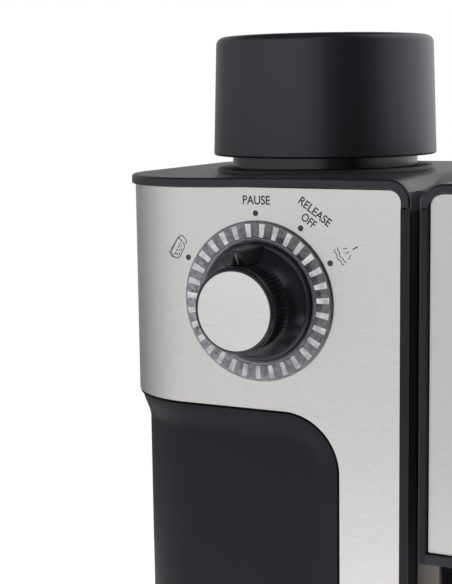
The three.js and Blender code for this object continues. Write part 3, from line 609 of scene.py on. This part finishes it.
def add_recess():
    plan = rounded(
        [(panel_low.x, panel_high.y, 0), (panel_low.x, FACE, STEEL_CORNER), (RECESS_RIGHT + 1.5, FACE, 0)],
        closed=False,
        steps=24,
    )
    line = [Vector(plan[0])]
    for point in plan[1:]:
        point = Vector(point)
        pieces = max(1, round((point - line[-1]).length / 1.6))
        line += [line[-1].lerp(point, (k + 1) / pieces) for k in range(pieces)]
    along = [0.0]
    for a, b in zip(line, line[1:]):
        along.append(along[-1] + (b - a).length)
    end = along[-1] - 1.5
    heights = [panel_low.z, 60, 100, 140, 160, 170, 178] + [180 + 0.75 * k for k in range(34)]
    verts, faces = [], []
    for i, place in enumerate(line):
        ahead = heading(line, i)
        inward = Vector((-ahead.y, ahead.x))
        for z in heights:
            point = place + inward * recess_depth(along[i], z, end)
            verts.append((point.x, point.y, z))
    rows = len(heights)
    for i in range(len(line) - 1):
        for k in range(rows - 1):
            faces.append([i * rows + k, (i + 1) * rows + k, (i + 1) * rows + k + 1, i * rows + k + 1])
    skin = new_piece("recess_skin", verts, faces, recess_black, 60)
    thick = skin.modifiers.new("thickness", "SOLIDIFY")
    thick.thickness = 0.7 * MM
    thick.offset = -1
    fix(skin, *SHELL)
    add_recess_painted_shadow(line, along, end)


def add_recess_painted_shadow(line, along, end):
    """A thin near-black strip of painted shadow in the gap between the steel's edge and the black face."""
    half, depth, thick, turns = 0.52, 0.3, 0.9, 16
    path = []
    for i, place in enumerate(line):
        if along[i] > end - RECESS_ROUND:
            break
        ahead = heading(line, i)
        outward = Vector((ahead.y, -ahead.x, 0))
        spot = Vector((place.x, place.y, RECESS_TOP - half)) - outward * depth
        path.append((spot, outward, Vector((0, 0, -1))))
    reach = RECESS_ROUND - half
    for k in range(turns + 1):
        c, s = cos(pi / 2 * k / turns), sin(pi / 2 * k / turns)
        x, z = RECESS_RIGHT - RECESS_ROUND + reach * s, RECESS_TOP - RECESS_ROUND + reach * c
        path.append((Vector((x, FACE + depth, z)), FRONT, Vector((-s, 0, -c))))
    path.append((Vector((RECESS_RIGHT - half, FACE + depth, panel_low.z)), FRONT, Vector((-1, 0, 0))))
    section = [(0, half), (0, -half), (thick, -half), (thick, half)]
    fix(sweep("recess_painted_shadow", path, section, painted_gap_shadow), *SHELL)


def add_bands():
    """The black bands that frame the steel on both sides of the groove, below the seams."""
    proud = 0.06
    for name, edge, y, side, width, low, high in (
        ("tower_band", GROOVE_LEFT, TOWER_FRONT, -1, RIM, tower_low.z, LEFT_SEAM - 0.45),
        ("head_band", GROOVE_RIGHT, HEAD_FRONT, 1, HEAD_RIM, head_low.z, RIGHT_SEAM - 0.45),
    ):
        half = width / 2 + proud
        corners = [(-proud, half, 0.5), (-proud, -half, 0.8), (9, -half, 0), (9, half, 0)]
        section = rounded(corners, steps=6)
        middle = edge + side * width / 2
        path = [(Vector((middle, y, z)), FRONT, Vector((side, 0, 0))) for z in (low, high)]
        fix(sweep(name, path, section, band_black), *SHELL)


def below_cover(piece):
    """Lowers a piece's top edge clear of the cover's face, which dips beside the groove."""
    near_top, lowering = TOP - 5, 1.6
    for vert in piece.data.vertices:
        if vert.co.z > near_top * MM:
            vert.co.z -= lowering * MM
    return piece


def narrowed_head():
    """The head's shell and steel, with the steel reaching up to the thinner rim and narrower band."""
    slack = RIM - HEAD_RIM
    shell = refined("head_shell", satin_black, 0)
    for vert in shell.data.vertices:
        past_band, behind = vert.co.x / MM - GROOVE_RIGHT - RIM, vert.co.y / MM - HEAD_FRONT
        if abs(past_band) < 0.2 and behind < 4:  # the step beside the steel
            vert.co.x -= slack * MM
    panel = refined("head_panel", head_steel, 0.12)
    low, high = box_mm("head_panel")
    for vert in panel.data.vertices:
        vert.co.x = high.x * MM - (high.x * MM - vert.co.x) * (1 + slack / (high.x - low.x))
        vert.co.z = low.z * MM + (vert.co.z - low.z * MM) * (1 + slack / (high.z - low.z))
    fix(bevel(below_cover(shell), 0.3, 2), *SHELL, "head_shell")
    fix(panel, "housing", "brushed_steel", "head_panel")


def add_housings():
    fix(below_cover(refined("tower_shell", satin_black, 0.3)), *SHELL, "tower_shell")
    fix(refined("dial_panel", steel, 0.22), "housing", "brushed_steel", "dial_panel")
    narrowed_head()
    for node, width, segments in (("column_shell", 0.5, 2), ("rear_cover", 0.8, 2), ("base_pan", 1.0, 3)):
        fix(refined(node, satin_black, width, segments), *SHELL, node)
    fix(below_cover(refined("groove_strip", groove_painted_light, 0.3)), *SHELL, "groove_strip")


# ---- Dial ----

RING_BARS = 31
RING_TURN = 0.32  # of a bar's pitch
KNURLS = 60
KNURL_DEPTH = 1.0
KNOB_FOOT = 21.8
KNOB_GRIP = 15.9
DISC_RADIUS = 14.3
KNOB_REACH = FACE - box_mm("dial_knob")[0].y
KNOB_LEAN_X = 0.01  # the knob hangs a little on its spindle: drift per millimetre of height
KNOB_LEAN_Z = -0.03


def dial_point(radius, angle, height):
    """A point on the dial: the angle runs anticlockwise from the right, the height forward."""
    return (DIAL_X + radius * cos(angle), FACE - height, DIAL_Z + radius * sin(angle))


def knob_point(side, up, reach):
    """A point on the leaning knob, by its distances from the dial's axis and from the steel."""
    return (DIAL_X + side + KNOB_LEAN_X * reach, FACE - reach, DIAL_Z + up + KNOB_LEAN_Z * reach)


LEAN = (-24.0, 0, -20.0)  # towards the dial's lower left, per metre: the slope of the painted light and shade across the ring
LEAN_REACH = 0.9  # LEAN times a place on the ring's edge, from the dial's axis
RING_PAINTED_LIGHT = (  # each material's colour scale at the upper right and at the lower left, painted light and shade
    (ring_body, 0.9, 3.4), (ring_lip, 0.9, 1.8), (ring_wall, 0.3, 8.0), (ring_bar, 1.0, 0.85),
)


def paint_light_across(made, dull, bright):
    """Paints light and shade into a material's colour, scaling it from dull at the dial's upper right to
    bright at its lower left.
    """
    tree = made.node_tree
    link = tree.links.new
    color = tree.nodes["Principled BSDF"].inputs["Base Color"]
    place = add_node(tree, "TexCoord")
    offset, toward, scaled = (add_node(tree, "VectorMath") for _ in range(3))
    offset.operation = "SUBTRACT"
    offset.inputs[1].default_value = Vector((DIAL_X, FACE, DIAL_Z)) * MM
    toward.operation = "DOT_PRODUCT"
    toward.inputs[1].default_value = LEAN
    share = add_node(tree, "MapRange", From_Min=-LEAN_REACH, From_Max=LEAN_REACH)
    set_inputs(share, To_Min=dull, To_Max=bright)
    scaled.operation = "SCALE"
    if color.is_linked:
        link(color.links[0].from_socket, scaled.inputs[0])
    else:
        scaled.inputs[0].default_value = color.default_value[:3]
    link(place.outputs["Object"], offset.inputs[0])
    link(offset.outputs["Vector"], toward.inputs[0])
    link(toward.outputs["Value"], share.inputs["Value"])
    link(share.outputs["Result"], scaled.inputs["Scale"])
    link(scaled.outputs["Vector"], color)


def ring_lathe(name, look, corners):
    return lathe(name, corners, look, (DIAL_X, FACE, DIAL_Z), "-Y", 160, loop=True, steps=4)


def add_ring():
    """A raised ring, dark and glossy as clear plastic looks there, with bright bars at its face."""
    # painted light and shade across the ring's colours
    for made, dull, bright in RING_PAINTED_LIGHT:
        paint_light_across(made, dull, bright)
    back, edge, seat = -4.6, 29.5, -1.6
    corners = [
        (10, back, 0), (10, seat, 0), (23.3, seat, 0), (23.5, 1.15, 0.3), (29.2, 1.2, 0.3),
        (edge, 0.8, 0.2), (edge, back, 0),
    ]
    fix(ring_lathe("ring_looks", ring_body, corners), *RING, "light_ring")
    verts, faces = [], []
    for i in range(RING_BARS):
        middle = 2 * pi * (i + RING_TURN) / RING_BARS
        a = len(verts)
        for radius, reach in ((23.75, 0.85), (28.75, 1.14)):
            for side, height in ((-1.15, 0.9), (-1, 1.45), (1, 1.45), (1.15, 0.9)):
                verts.append(dial_point(radius, middle + side * reach / radius, height))
        faces += [[a, a + 1, a + 2, a + 3], [a + 4, a + 5, a + 6, a + 7]]
        faces += [[a + k, a + (k + 1) % 4, a + 4 + (k + 1) % 4, a + 4 + k] for k in range(4)]
    fix(bevel(new_piece("ring_bars", verts, faces, ring_bar), 0.12, 2), *RING)
    lip = [(21.95, -2.2, 0), (22.0, 0.9, 0.3), (23.3, 1.45, 0.35), (23.6, 0.8, 0), (23.6, -2.2, 0)]
    wall = [(29.35, -3, 0), (29.3, 1.35, 0.15), (29.7, 0.9, 0.25), (29.9, -0.2, 0.2), (29.9, -3, 0)]
    for name, look, corners in (("ring_lip", ring_lip, lip), ("ring_wall", ring_wall, wall)):
        fix(ring_lathe(name, look, corners), *RING)


def knob_outline():
    """(radius, height) along the knob's smooth surface, from its foot to its axis."""
    wide, narrow, core = 20.1, 15.2, 14.9  # radii of the flare's ends and of the body under the teeth
    shelf, rise, shoulder = 2.75, 7.0, KNOB_REACH - 2.4
    skirt = [(21.2, 0.4, 0), (KNOB_FOOT, 0.4, 0.3), (KNOB_FOOT, 2.3, 0.8), (20.6, shelf, 0.15)]
    points = rounded([*skirt, (wide, shelf, 0)], closed=False, steps=5)
    for t in (k / 18 for k in range(19)):
        points.append((narrow + (wide - narrow) * (1 - t) ** 1.45, shelf + rise * t))
    points += [(core, 11 + (shoulder - 11.6) * k / 6) for k in range(7)]
    points += [(core, shoulder - 0.3)]
    edge = [(KNOB_GRIP - 0.2, shoulder, 0), (KNOB_GRIP + 0.1, KNOB_REACH - 0.25, 1.7)]
    points += rounded([*edge, (DISC_RADIUS, KNOB_REACH - 0.05, 0)], closed=False)
    points += [(DISC_RADIUS - 0.05, KNOB_REACH - 1), (0, KNOB_REACH - 1)]
    return points


def add_knob():
    columns, top, verts = KNURLS * 8, KNOB_REACH, []
    outline = knob_outline()
    for radius, height in outline:
        toothed = 6 < height < top - 2.2
        for k in range(columns):
            tip = 0
            if toothed:
                phase = (k % 8) / 8
                tip = KNOB_GRIP - KNURL_DEPTH * min(1, abs(phase - 0.5) * 2.6)
            reach, turn = max(radius, tip), 2 * pi * k / columns
            verts.append(knob_point(reach * cos(turn), reach * sin(turn), height))
    faces = wrapped(len(outline), columns)
    fix(new_piece("knob_looks", verts, faces, knob_black, 38), *KNOB, "dial_knob")
    centre = (DIAL_X + KNOB_LEAN_X * top, FACE, DIAL_Z + KNOB_LEAN_Z * top)
    back, front = top - 1.0, top - 0.05
    disc = [(0, back, 0), (DISC_RADIUS, back, 0), (DISC_RADIUS, front, 0.15), (0, front, 0)]
    fix(lathe("disc_looks", disc, disc_steel, centre, "-Y", 128), "dial", "brushed_steel", "dial_disc")
    add_pointer()


POINTER_FRONT = ((15.2, 16.1), (21.3, 19.4))  # (up from the dial's axis, forward of the steel)
POINTER_BACK = ((15.0, 3.5), (21.5, 2.2))
POINTER_HALVES = (2.5, 2.2, 4.6, 3.6)  # half the fin's width at each of those
MARK_SPAN = (0.14, 0.82)  # of the fin's sloping front
BLOCK_FACES = ([0, 1, 3, 2], [4, 5, 7, 6], [0, 1, 5, 4], [2, 3, 7, 6], [0, 2, 6, 4], [1, 3, 7, 5])


def add_pointer():
    """A tapered fin over the grip, with a pale line and a black one on the sloping front."""
    verts = []
    for half, (up, reach) in zip(POINTER_HALVES, POINTER_FRONT + POINTER_BACK):
        verts += [knob_point(-half, up, reach), knob_point(half, up, reach)]
    fix(bevel(new_piece("knob_pointer", verts, BLOCK_FACES, satin_black), 0.9, 6, 20), *KNOB)
    (low, low_reach), (high, high_reach) = POINTER_FRONT
    lines = (("knob_mark", pale_mark, 0.1, 0.3), ("knob_mark_shadow", satin_black, -0.75, 0.42))
    for name, look, side, half in lines:
        marks = []
        for t in MARK_SPAN:
            up, reach = low + (high - low) * t, low_reach + (high_reach - low_reach) * t
            for lift in (-0.3, 0.06):
                marks += [knob_point(side + across, up, reach + lift) for across in (-half, half)]
        fix(new_piece(name, marks, BLOCK_FACES, look), *KNOB)


# ---- Printed legend ----

DOT_ANGLES = (152.3, 91.2, 58, 28.2)  # degrees anticlockwise from the right
DOT_RING = 32.4
DOT_RADIUS = 1.08
INK_FRONT = FACE - 0.04


def print_dots():
    turns = [pi * k / 16 for k in range(32)]
    for i, degrees in enumerate(DOT_ANGLES):
        x, _, z = dial_point(DOT_RING, radians(degrees), 0)
        outline = [(x + DOT_RADIUS * cos(a), z + DOT_RADIUS * sin(a)) for a in turns]
        fix(prism(f"legend_dot_{i + 1}", outline, INK_FRONT, FACE + 0.1, ink, "Y"), "housing")


def print_word(name, word, x, z, height, width, degrees=0):
    """A word printed on the steel, with its middle at (x, z)."""
    data = bpy.data.curves.new(name, "FONT")
    data.body = word
    data.align_x = data.align_y = "CENTER"
    data.extrude = 0.02
    data.offset = 0.016
    mesh = as_mesh(add_object(name, data))
    xs = [v.co.x for v in mesh.vertices]
    ys = [v.co.y for v in mesh.vertices]
    mid_x, mid_y = (min(xs) + max(xs)) / 2, (min(ys) + max(ys)) / 2
    across, tall = width / (max(xs) - min(xs)), height / (max(ys) - min(ys))
    c, s = cos(radians(degrees)), sin(radians(degrees))
    for v in mesh.vertices:
        a, b = (v.co.x - mid_x) * across, (v.co.y - mid_y) * tall
        front = INK_FRONT if v.co.z > 0 else FACE + 0.1
        v.co = Vector((x + a * c - b * s, front, z + a * s + b * c)) * MM
    paint(mesh, ink)
    fix(add_object(name, mesh), "housing")


def print_strokes(name, strokes, x, z, width=0.27):
    """Thin printed lines; each stroke is a list of (right, up) points about (x, z)."""
    verts, faces = [], []
    for stroke in strokes:
        points = [Vector((x + a, z + b)) for a, b in stroke]
        for a, b in zip(points, points[1:]):
            ahead = (b - a).normalized()
            side = Vector((-ahead.y, ahead.x)) * width / 2
            reach = ahead * width * 0.35
            first = len(verts)
            for corner in (a - side - reach, a + side - reach, b + side + reach, b - side + reach):
                verts += [(corner.x, INK_FRONT, corner.y), (corner.x, FACE + 0.1, corner.y)]
            for i in range(4):
                j = (i + 1) % 4
                faces.append([first + 2 * i, first + 2 * j, first + 2 * j + 1, first + 2 * i + 1])
            faces += [[first + 2 * i for i in range(4)], [first + 2 * i + 1 for i in range(4)]]
    fix(new_piece(name, verts, faces, ink), "housing")


JUG = (  # outline and handle of a tilted jug, as (right, up) points
    (
        (0.35, 3.8), (-3.5, -2.1), (-2.2, -3.55), (-0.1, -4.15), (1.05, -3.4), (3.0, 0.1), (2.85, 1.1),
        (1.7, 2.6), (0.35, 3.8),
    ),
    ((0.6, 3.9), (1.3, 4.45), (2.1, 4.5), (3.2, 3.6), (4.0, 2.45), (3.8, 1.8), (2.95, 1.2)),
)
BUBBLES = (
    (0.9, 1.1), (0.35, -0.05), (1.45, 0.2), (-0.45, -1.3), (0.55, -1.3), (1.5, -1.2), (-1.35, -2.7),
    (-0.4, -2.8), (0.5, -2.9),
)
SPRAY = (((-1.3, 2.2), (0.1, 2.5)), ((-0.4, 0.5), (0.7, 1.05)), ((0.65, -1.5), (1.5, 0.0)))


def add_legend():
    print_dots()
    print_word("legend_pause", "PAUSE", DIAL_X - 0.3, 281.6, 3.3, 11.0)
    print_word("legend_release", "RELEASE", -39.9, 278.0, 3.1, 14.4, -36)
    print_word("legend_off", "OFF", -42.3, 274.7, 3.1, 6.0, -36)
    bubbles = [[(a, b), (a + 0.33, b + 0.62)] for a, b in BUBBLES]
    print_strokes("legend_jug", [*JUG, *bubbles], -96.0, 263.1)
    waves = []
    for radius, start, end in ((6.95, 186, 240), (5.7, 180, 244)):
        wave = []
        for k in range(25):
            turn = radians(start + (end - start) * k / 24)
            reach = radius + 0.24 * sin(5 * pi * k / 24)
            wave.append((2.4 + reach * cos(turn), 2.6 + reach * sin(turn)))
        waves.append(wave)
    print_strokes("legend_steam", [*waves, *SPRAY], -27.8, 262.9)
    print_strokes("legend_nozzle", [((2.5, 2.15), (4.1, 3.1))], -27.9, 262.9, 0.45)


# ---- Brew group and filter holder ----

GROUP = centre_of("brew_head")
HANDLE_Z = centre_of("holder_handle").z
BREW_AXIS = (GROUP.x, GROUP.y, 0)
HANDLE_ROOT = (GROUP.x, GROUP.y, HANDLE_Z)


def add_group():
    low, high = box_mm("bayonet_ring")
    radius, ledge = (high.x - low.x) / 2, low.z + 3.7
    profile = [
        (34.6, low.z, 0.5), (radius - 1.5, low.z, 1.0), (radius, low.z + 3, 1.0), (radius, high.z, 0),
        (38.4, high.z, 0), (38.4, ledge, 0), (34.6, ledge, 0),
    ]
    ring = lathe("bayonet_looks", profile, satin_black, BREW_AXIS, sides=128, loop=True)
    fix(ring, *SHELL, "bayonet_ring")
    low, high = box_mm("shower_screen")
    profile = [(3.8, low.z, 0), (25.5, low.z, 0.4), (26.2, high.z, 0), (3.8, high.z, 0)]
    screen = lathe("screen_looks", profile, chrome, BREW_AXIS, loop=True)
    fix(screen, "housing", "polished_steel", "shower_screen")


def add_holder():
    add_bowl()
    add_lugs()
    add_clip_mount()
    add_handle()
    add_spouts()
    low, high = box_mm("filter_basket")
    foot, top, floor, flange = low.z, high.z, low.z + 0.8, high.z - 1.1
    profile = [
        (0, foot, 0), (26.5, foot, 1.5), (28.8, foot + 2.5, 1), (28.8, flange, 0.4), (31.5, flange, 0.3),
        (31.5, top, 0.3), (28, top, 0.5), (28, foot + 3, 1.2), (26, floor, 1), (0, floor, 0),
    ]
    basket = lathe("basket_looks", profile, chrome, BREW_AXIS)
    fix(basket, "filter_holder", "polished_steel", "filter_basket")
    fix(refined("basket_clip", chrome, 0.35), "basket_clip", "polished_steel", "basket_clip")


def add_bowl():
    low, high = box_mm("filter_bowl")
    foot, top = low.z, high.z
    floor, ledge = foot + 3, top - 1.6
    profile = [
        (0, foot, 0), (26, foot, 3), (31.5, foot + 4, 5), (33.6, foot + 11, 3), (33.6, top, 0.6),
        (31.9, top, 0.3), (31.9, ledge, 0), (29.5, ledge, 0), (29.5, foot + 5, 2), (26, floor, 1),
        (0, floor, 0),
    ]
    fix(lathe("bowl_looks", profile, aluminium, BREW_AXIS, sides=128), *CASTING, "filter_bowl")


def add_lugs():
    """The three lugs that lock in the head's ramps."""
    inner, outer, low, high = 32.5, 37.6, 149.6, 153
    steps = 12
    corners = ((inner, low), (outer, low), (outer, high), (inner, high))
    verts, faces = [], []
    for i in range(3):
        first = len(verts)
        for k in range(steps + 1):
            angle = radians(75 + 120 * i + 30 * k / steps)
            c, s = cos(angle), sin(angle)
            verts += [(GROUP.x + radius * c, GROUP.y + radius * s, z) for radius, z in corners]
        faces += wrapped(steps + 1, 4, first)
        faces += [[first + n for n in range(4)], [first + 4 * steps + n for n in range(4)]]
    fix(bevel(new_piece("holder_lugs", verts, faces, aluminium), 0.4), *CASTING)


def add_clip_mount():
    """The handle's socket, with the saddle and ears that carry the clip's pin."""
    socket = [(0, 31, 0), (7.4, 31, 0), (6.5, 36, 3), (6.5, 48.6, 0.5), (0, 48.6, 0)]
    fix(lathe("holder_socket", socket, aluminium, HANDLE_ROOT, "-Y", 64), *CASTING)
    pin_y, pin_z = GROUP.y - 45, 151
    front, back, crown = pin_y - 3, pin_y + 2.5, pin_z + 2.5
    left, right, thick = GROUP.x - 9.5, GROUP.x + 9.5, 2.5
    outline = [(left, front), (right, front), (right, back), (left, back)]
    saddle = prism("clip_saddle", outline, HANDLE_Z + 3, pin_z - 3, aluminium)
    fix(bevel(saddle, 0.5), *CASTING)
    foot = pin_z - 4
    outline = rounded([(front, foot, 0), (back, foot, 0), (back, crown, 2.4), (front, crown, 2.4)])
    for name, x in (("clip_ear_left", left), ("clip_ear_right", right - thick)):
        fix(bevel(prism(name, outline, x, x + thick, aluminium, "X"), 0.3, 2), *CASTING)


def add_handle():
    end = GROUP.y - box_mm("holder_handle")[0].y - 0.1
    grip = [
        (0, 49, 0), (8.6, 49, 1), (9.4, 54, 4), (10, 62, 20), (12.4, 80, 30), (13, 102, 40),
        (12.2, 130, 40), (11, end, 8), (0, end, 0),
    ]
    handle = lathe("handle_looks", grip, satin_black, HANDLE_ROOT, "-Y", 72, steps=10)
    fix(handle, "filter_holder", "black_plastic", "holder_handle")


def add_spouts():
    low, high = box_mm("spout_block")
    block, foot = 5, high.z - 4  # the block's height, and where the two spouts start inside it
    outline = [(GROUP.x + a * 13, GROUP.y + b * 7, 6.9) for a, b in ((-1, -1), (1, -1), (1, 1), (-1, 1))]
    body = prism("spout_looks", rounded(outline), high.z - block, high.z, satin_black)
    fix(bevel(body, 0.8), "filter_holder", "black_plastic", "spout_block")
    profile = [(2.3, low.z, 0.3), (4.4, low.z, 0.6), (5.4, foot, 0), (2.3, foot, 0)]
    for name, side in (("spout_left", -7), ("spout_right", 7)):
        spout = lathe(name, profile, satin_black, (GROUP.x + side, GROUP.y, 0), sides=48, loop=True)
        fix(spout, "filter_holder", "black_plastic")


# ---- Drip tray, wand and small parts ----


def add_tray():
    fix(refined("drip_tray", satin_black, 0.9, 3), "drip_tray", "black_plastic", "drip_tray")
    fix(refined("drip_grid", chrome, 0.3, 2), "drip_grid", "polished_steel", "drip_grid")


def add_wand():
    middle = centre_of("wand_socket")
    y, z = middle.y, middle.z
    end = box_mm("wand_socket")[1].x
    profile = [(0, 85, 0), (6.9, 85, 0), (6.9, 107, 0), (11, 108.3, 0.4), (11, end, 1.6), (0, end, 0)]
    fix(lathe("socket_looks", profile, satin_black, (0, y, z), "X", 64), *SHELL, "wand_socket")
    low, high = box_mm("wand_hub")
    end = high.x - 0.1
    profile = [(0, low.x, 0), (9.5, low.x, 1.0), (9.5, end, 3.2), (0, end, 0)]
    fix(lathe("hub_looks", profile, satin_black, (0, y, z), "X", 72), *WAND, "wand_hub")
    low, high = box_mm("wand_tube")
    x, bend = (low.x + high.x) / 2, y - 5
    heights = ((high.z + 3, 0), (192, 0), (178, 0.4), (162, 2.5), (150, 4.6), (140, 5), (low.z + 1, 5))
    points = [(x, y - forward, height) for height, forward in heights]
    fix(tube("tube_looks", points, 3, chrome), "steam_wand", "polished_steel", "wand_tube")
    low, high = box_mm("wand_grip")
    profile = [(3.05, low.z, 0.2), (5.4, low.z, 0.6)]
    for k in range(9):
        foot = low.z + 1.2 + 2.2 * k
        profile += [(6.4, foot, 0.3), (6.4, foot + 1.4, 0.3), (5.8, foot + 1.5, 0), (5.8, foot + 2.1, 0)]
    profile += [(5.4, high.z, 0.6), (3.05, high.z, 0.2)]
    grip = lathe("grip_looks", profile, rubber, (x, y, 0), sides=64, loop=True, steps=3)
    fix(grip, "steam_wand", "black_rubber", "wand_grip")
    low, high = box_mm("froth_sleeve")
    profile = [
        (1.2, low.z, 0.2), (4.4, low.z, 1), (6.2, low.z + 3.5, 3), (6.75, low.z + 19, 20),
        (6.2, high.z - 3, 4), (5.2, high.z, 0.6), (3.1, high.z, 0.2), (3.1, low.z + 6, 0),
        (1.2, low.z + 5.4, 0),
    ]
    sleeve = lathe("sleeve_looks", profile, satin_black, (x, bend, 0), sides=72, loop=True)
    fix(sleeve, *WAND, "froth_sleeve")


def add_feet():
    for node in ("foot_front_left", "foot_front_right", "foot_rear_left", "foot_rear_right"):
        low, high = box_mm(node)
        profile = [(0, low.z, 0), (7.4, low.z, 0.6), (8, high.z, 0), (0, high.z, 0)]
        middle = centre_of(node)
        foot = lathe(node + "_looks", profile, rubber, (middle.x, middle.y, 0), sides=64)
        fix(foot, "housing", "black_rubber", node)


def add_gland():
    middle = centre_of("cable_gland")
    back = -box_mm("cable_gland")[1].y
    profile = [
        (3.6, back + 14, 0), (3.6, back, 0.3), (9.8, back, 0.5), (10.5, back + 1.2, 0), (8, back + 1.3, 0),
        (8, back + 12, 0),
    ]
    gland = lathe("gland_looks", profile, rubber, (middle.x, 0, middle.z), "-Y", 64, loop=True, steps=4)
    fix(gland, "housing", "black_rubber", "cable_gland")


def dress_the_rest():
    """Every CAD node that still shows gets the look of its slot."""
    for name, node in frame["nodes"].items():
        if not node.hide_render:
            paint(node.data, SLOT_LOOK[node_slot[name]])
            shade(node)


for add in (
    add_cap, add_neck, add_cover, add_recess, add_bands, add_housings, add_ring, add_knob, add_legend,
    add_group, add_holder, add_tray, add_wand, add_feet, add_gland, dress_the_rest,
):
    add()


# ---- Studio ----


def add_top_light():
    """A soft light: a glowing square overhead that neither the camera nor a reflection sees."""
    name, half, height, radiance = "light_top", 1.2, 1.7, 3.1
    glow = bpy.data.materials.new(name)
    glow.use_nodes = True
    tree = glow.node_tree
    tree.nodes.clear()
    emit = add_node(tree, "Emission", Strength=radiance)
    tree.links.new(emit.outputs["Emission"], add_node(tree, "OutputMaterial").inputs["Surface"])
    mesh = bpy.data.meshes.new(name)
    corners = [(-half, -half, 0), (half, -half, 0), (half, half, 0), (-half, half, 0)]
    mesh.from_pydata(corners, [], [(0, 1, 2, 3)])
    mesh.materials.append(glow)
    panel = add_object(name, mesh)
    panel.location = (0, 0, height)
    panel.rotation_mode = "QUATERNION"
    panel.rotation_quaternion = Vector((0, 0, -1)).to_track_quat("Z", "Y")
    panel.visible_camera = False
    panel.visible_glossy = False


PANORAMA = (  # azimuth in degrees, 0 in front and more to the right; brightness above and below eye level
    (-180, 0.9, 0.3), (-150, 0.46, 0.18), (-110, 0.34, 0.22), (-75, 0.66, 0.5), (-48, 0.92, 0.7),
    (-20, 1.06, 0.76), (4, 1.06, 0.72), (16, 0.74, 0.54), (28, 0.2, 0.16), (58, 0.06, 0.08),
    (76, 0.38, 0.3), (95, 1.0, 0.7), (120, 1.4, 0.85), (150, 1.35, 0.8), (180, 0.9, 0.3),
)
BRIGHTEST = 1.48
EYE_LEVEL = (-0.2, 0.04)  # heights between which the lower row of brightness gives way to the upper
CEILING = 0.12  # brightness overhead
CEILING_EDGE = (0.42, 0.72)  # heights between which the panels fade into it
RIGHT_DIP = 0.8  # how much lower it comes towards the right


def add_world():
    """Soft panels all round at eye level under a dim ceiling; the camera itself sees white."""
    world = bpy.data.worlds.new("studio")
    bpy.context.scene.world = world
    world.use_nodes = True
    tree = world.node_tree
    link = tree.links.new

    def maths(operation, *inputs):
        made = add_node(tree, "Math")
        made.operation = operation
        for socket, value in zip(made.inputs, inputs):
            if isinstance(value, (int, float)):
                socket.default_value = value
            else:
                link(value, socket)
        return made.outputs["Value"]

    def between(value, low, high, start, end):
        made = add_node(tree, "MapRange", From_Min=low, From_Max=high, To_Min=start, To_Max=end)
        link(value, made.inputs["Value"])
        return made.outputs["Result"]

    place = add_node(tree, "TexCoord")
    split = add_node(tree, "SeparateXYZ")
    link(place.outputs["Generated"], split.inputs["Vector"])
    x, y, z = (split.outputs[name] for name in "XYZ")
    round_about = between(maths("ARCTAN2", x, maths("MULTIPLY", y, -1)), -pi, pi, 0, 1)
    blend = add_node(tree, "Mix")
    blend.data_type = "RGBA"
    link(between(z, *EYE_LEVEL, 0, 1), blend.inputs["Factor"])
    colors = [socket for socket in blend.inputs if socket.type == "RGBA"]
    for column, socket in ((2, colors[0]), (1, colors[1])):
        ramp = add_node(tree, "ValToRGB")
        stops = ramp.color_ramp.elements
        for row in PANORAMA[1:-1]:
            stops.new((row[0] + 180) / 360)
        for stop, row in zip(stops, PANORAMA):
            stop.position = (row[0] + 180) / 360
            stop.color = (row[column] / BRIGHTEST,) * 3 + (1,)
        link(round_about, ramp.inputs["Fac"])
        link(ramp.outputs["Color"], socket)
    fill = tree.nodes["Background"]
    link([socket for socket in blend.outputs if socket.type == "RGBA"][0], fill.inputs["Color"])
    height = maths("SUBTRACT", z, maths("MULTIPLY", maths("MAXIMUM", x, 0), RIGHT_DIP))
    link(between(height, *CEILING_EDGE, BRIGHTEST, CEILING), fill.inputs["Strength"])
    white = add_node(tree, "Background", Strength=1.0, Color=(1, 1, 1, 1))
    path = add_node(tree, "LightPath")
    mix = add_node(tree, "MixShader")
    link(path.outputs["Is Camera Ray"], mix.inputs["Fac"])
    link(fill.outputs["Background"], mix.inputs[1])
    link(white.outputs["Background"], mix.inputs[2])
    link(mix.outputs["Shader"], tree.nodes["World Output"].inputs["Surface"])


def add_studio():
    add_world()
    add_top_light()
    floor = bpy.data.meshes.new("floor")
    sides = 96
    turns = [2 * pi * k / sides for k in range(sides)]
    floor.from_pydata([(0.5 * cos(a), 0.5 * sin(a), 0) for a in turns], [], [list(range(sides))])
    floor.materials.append(material("floor", (0.9, 0.9, 0.9), 0.8))
    add_object("floor", floor)


add_studio()
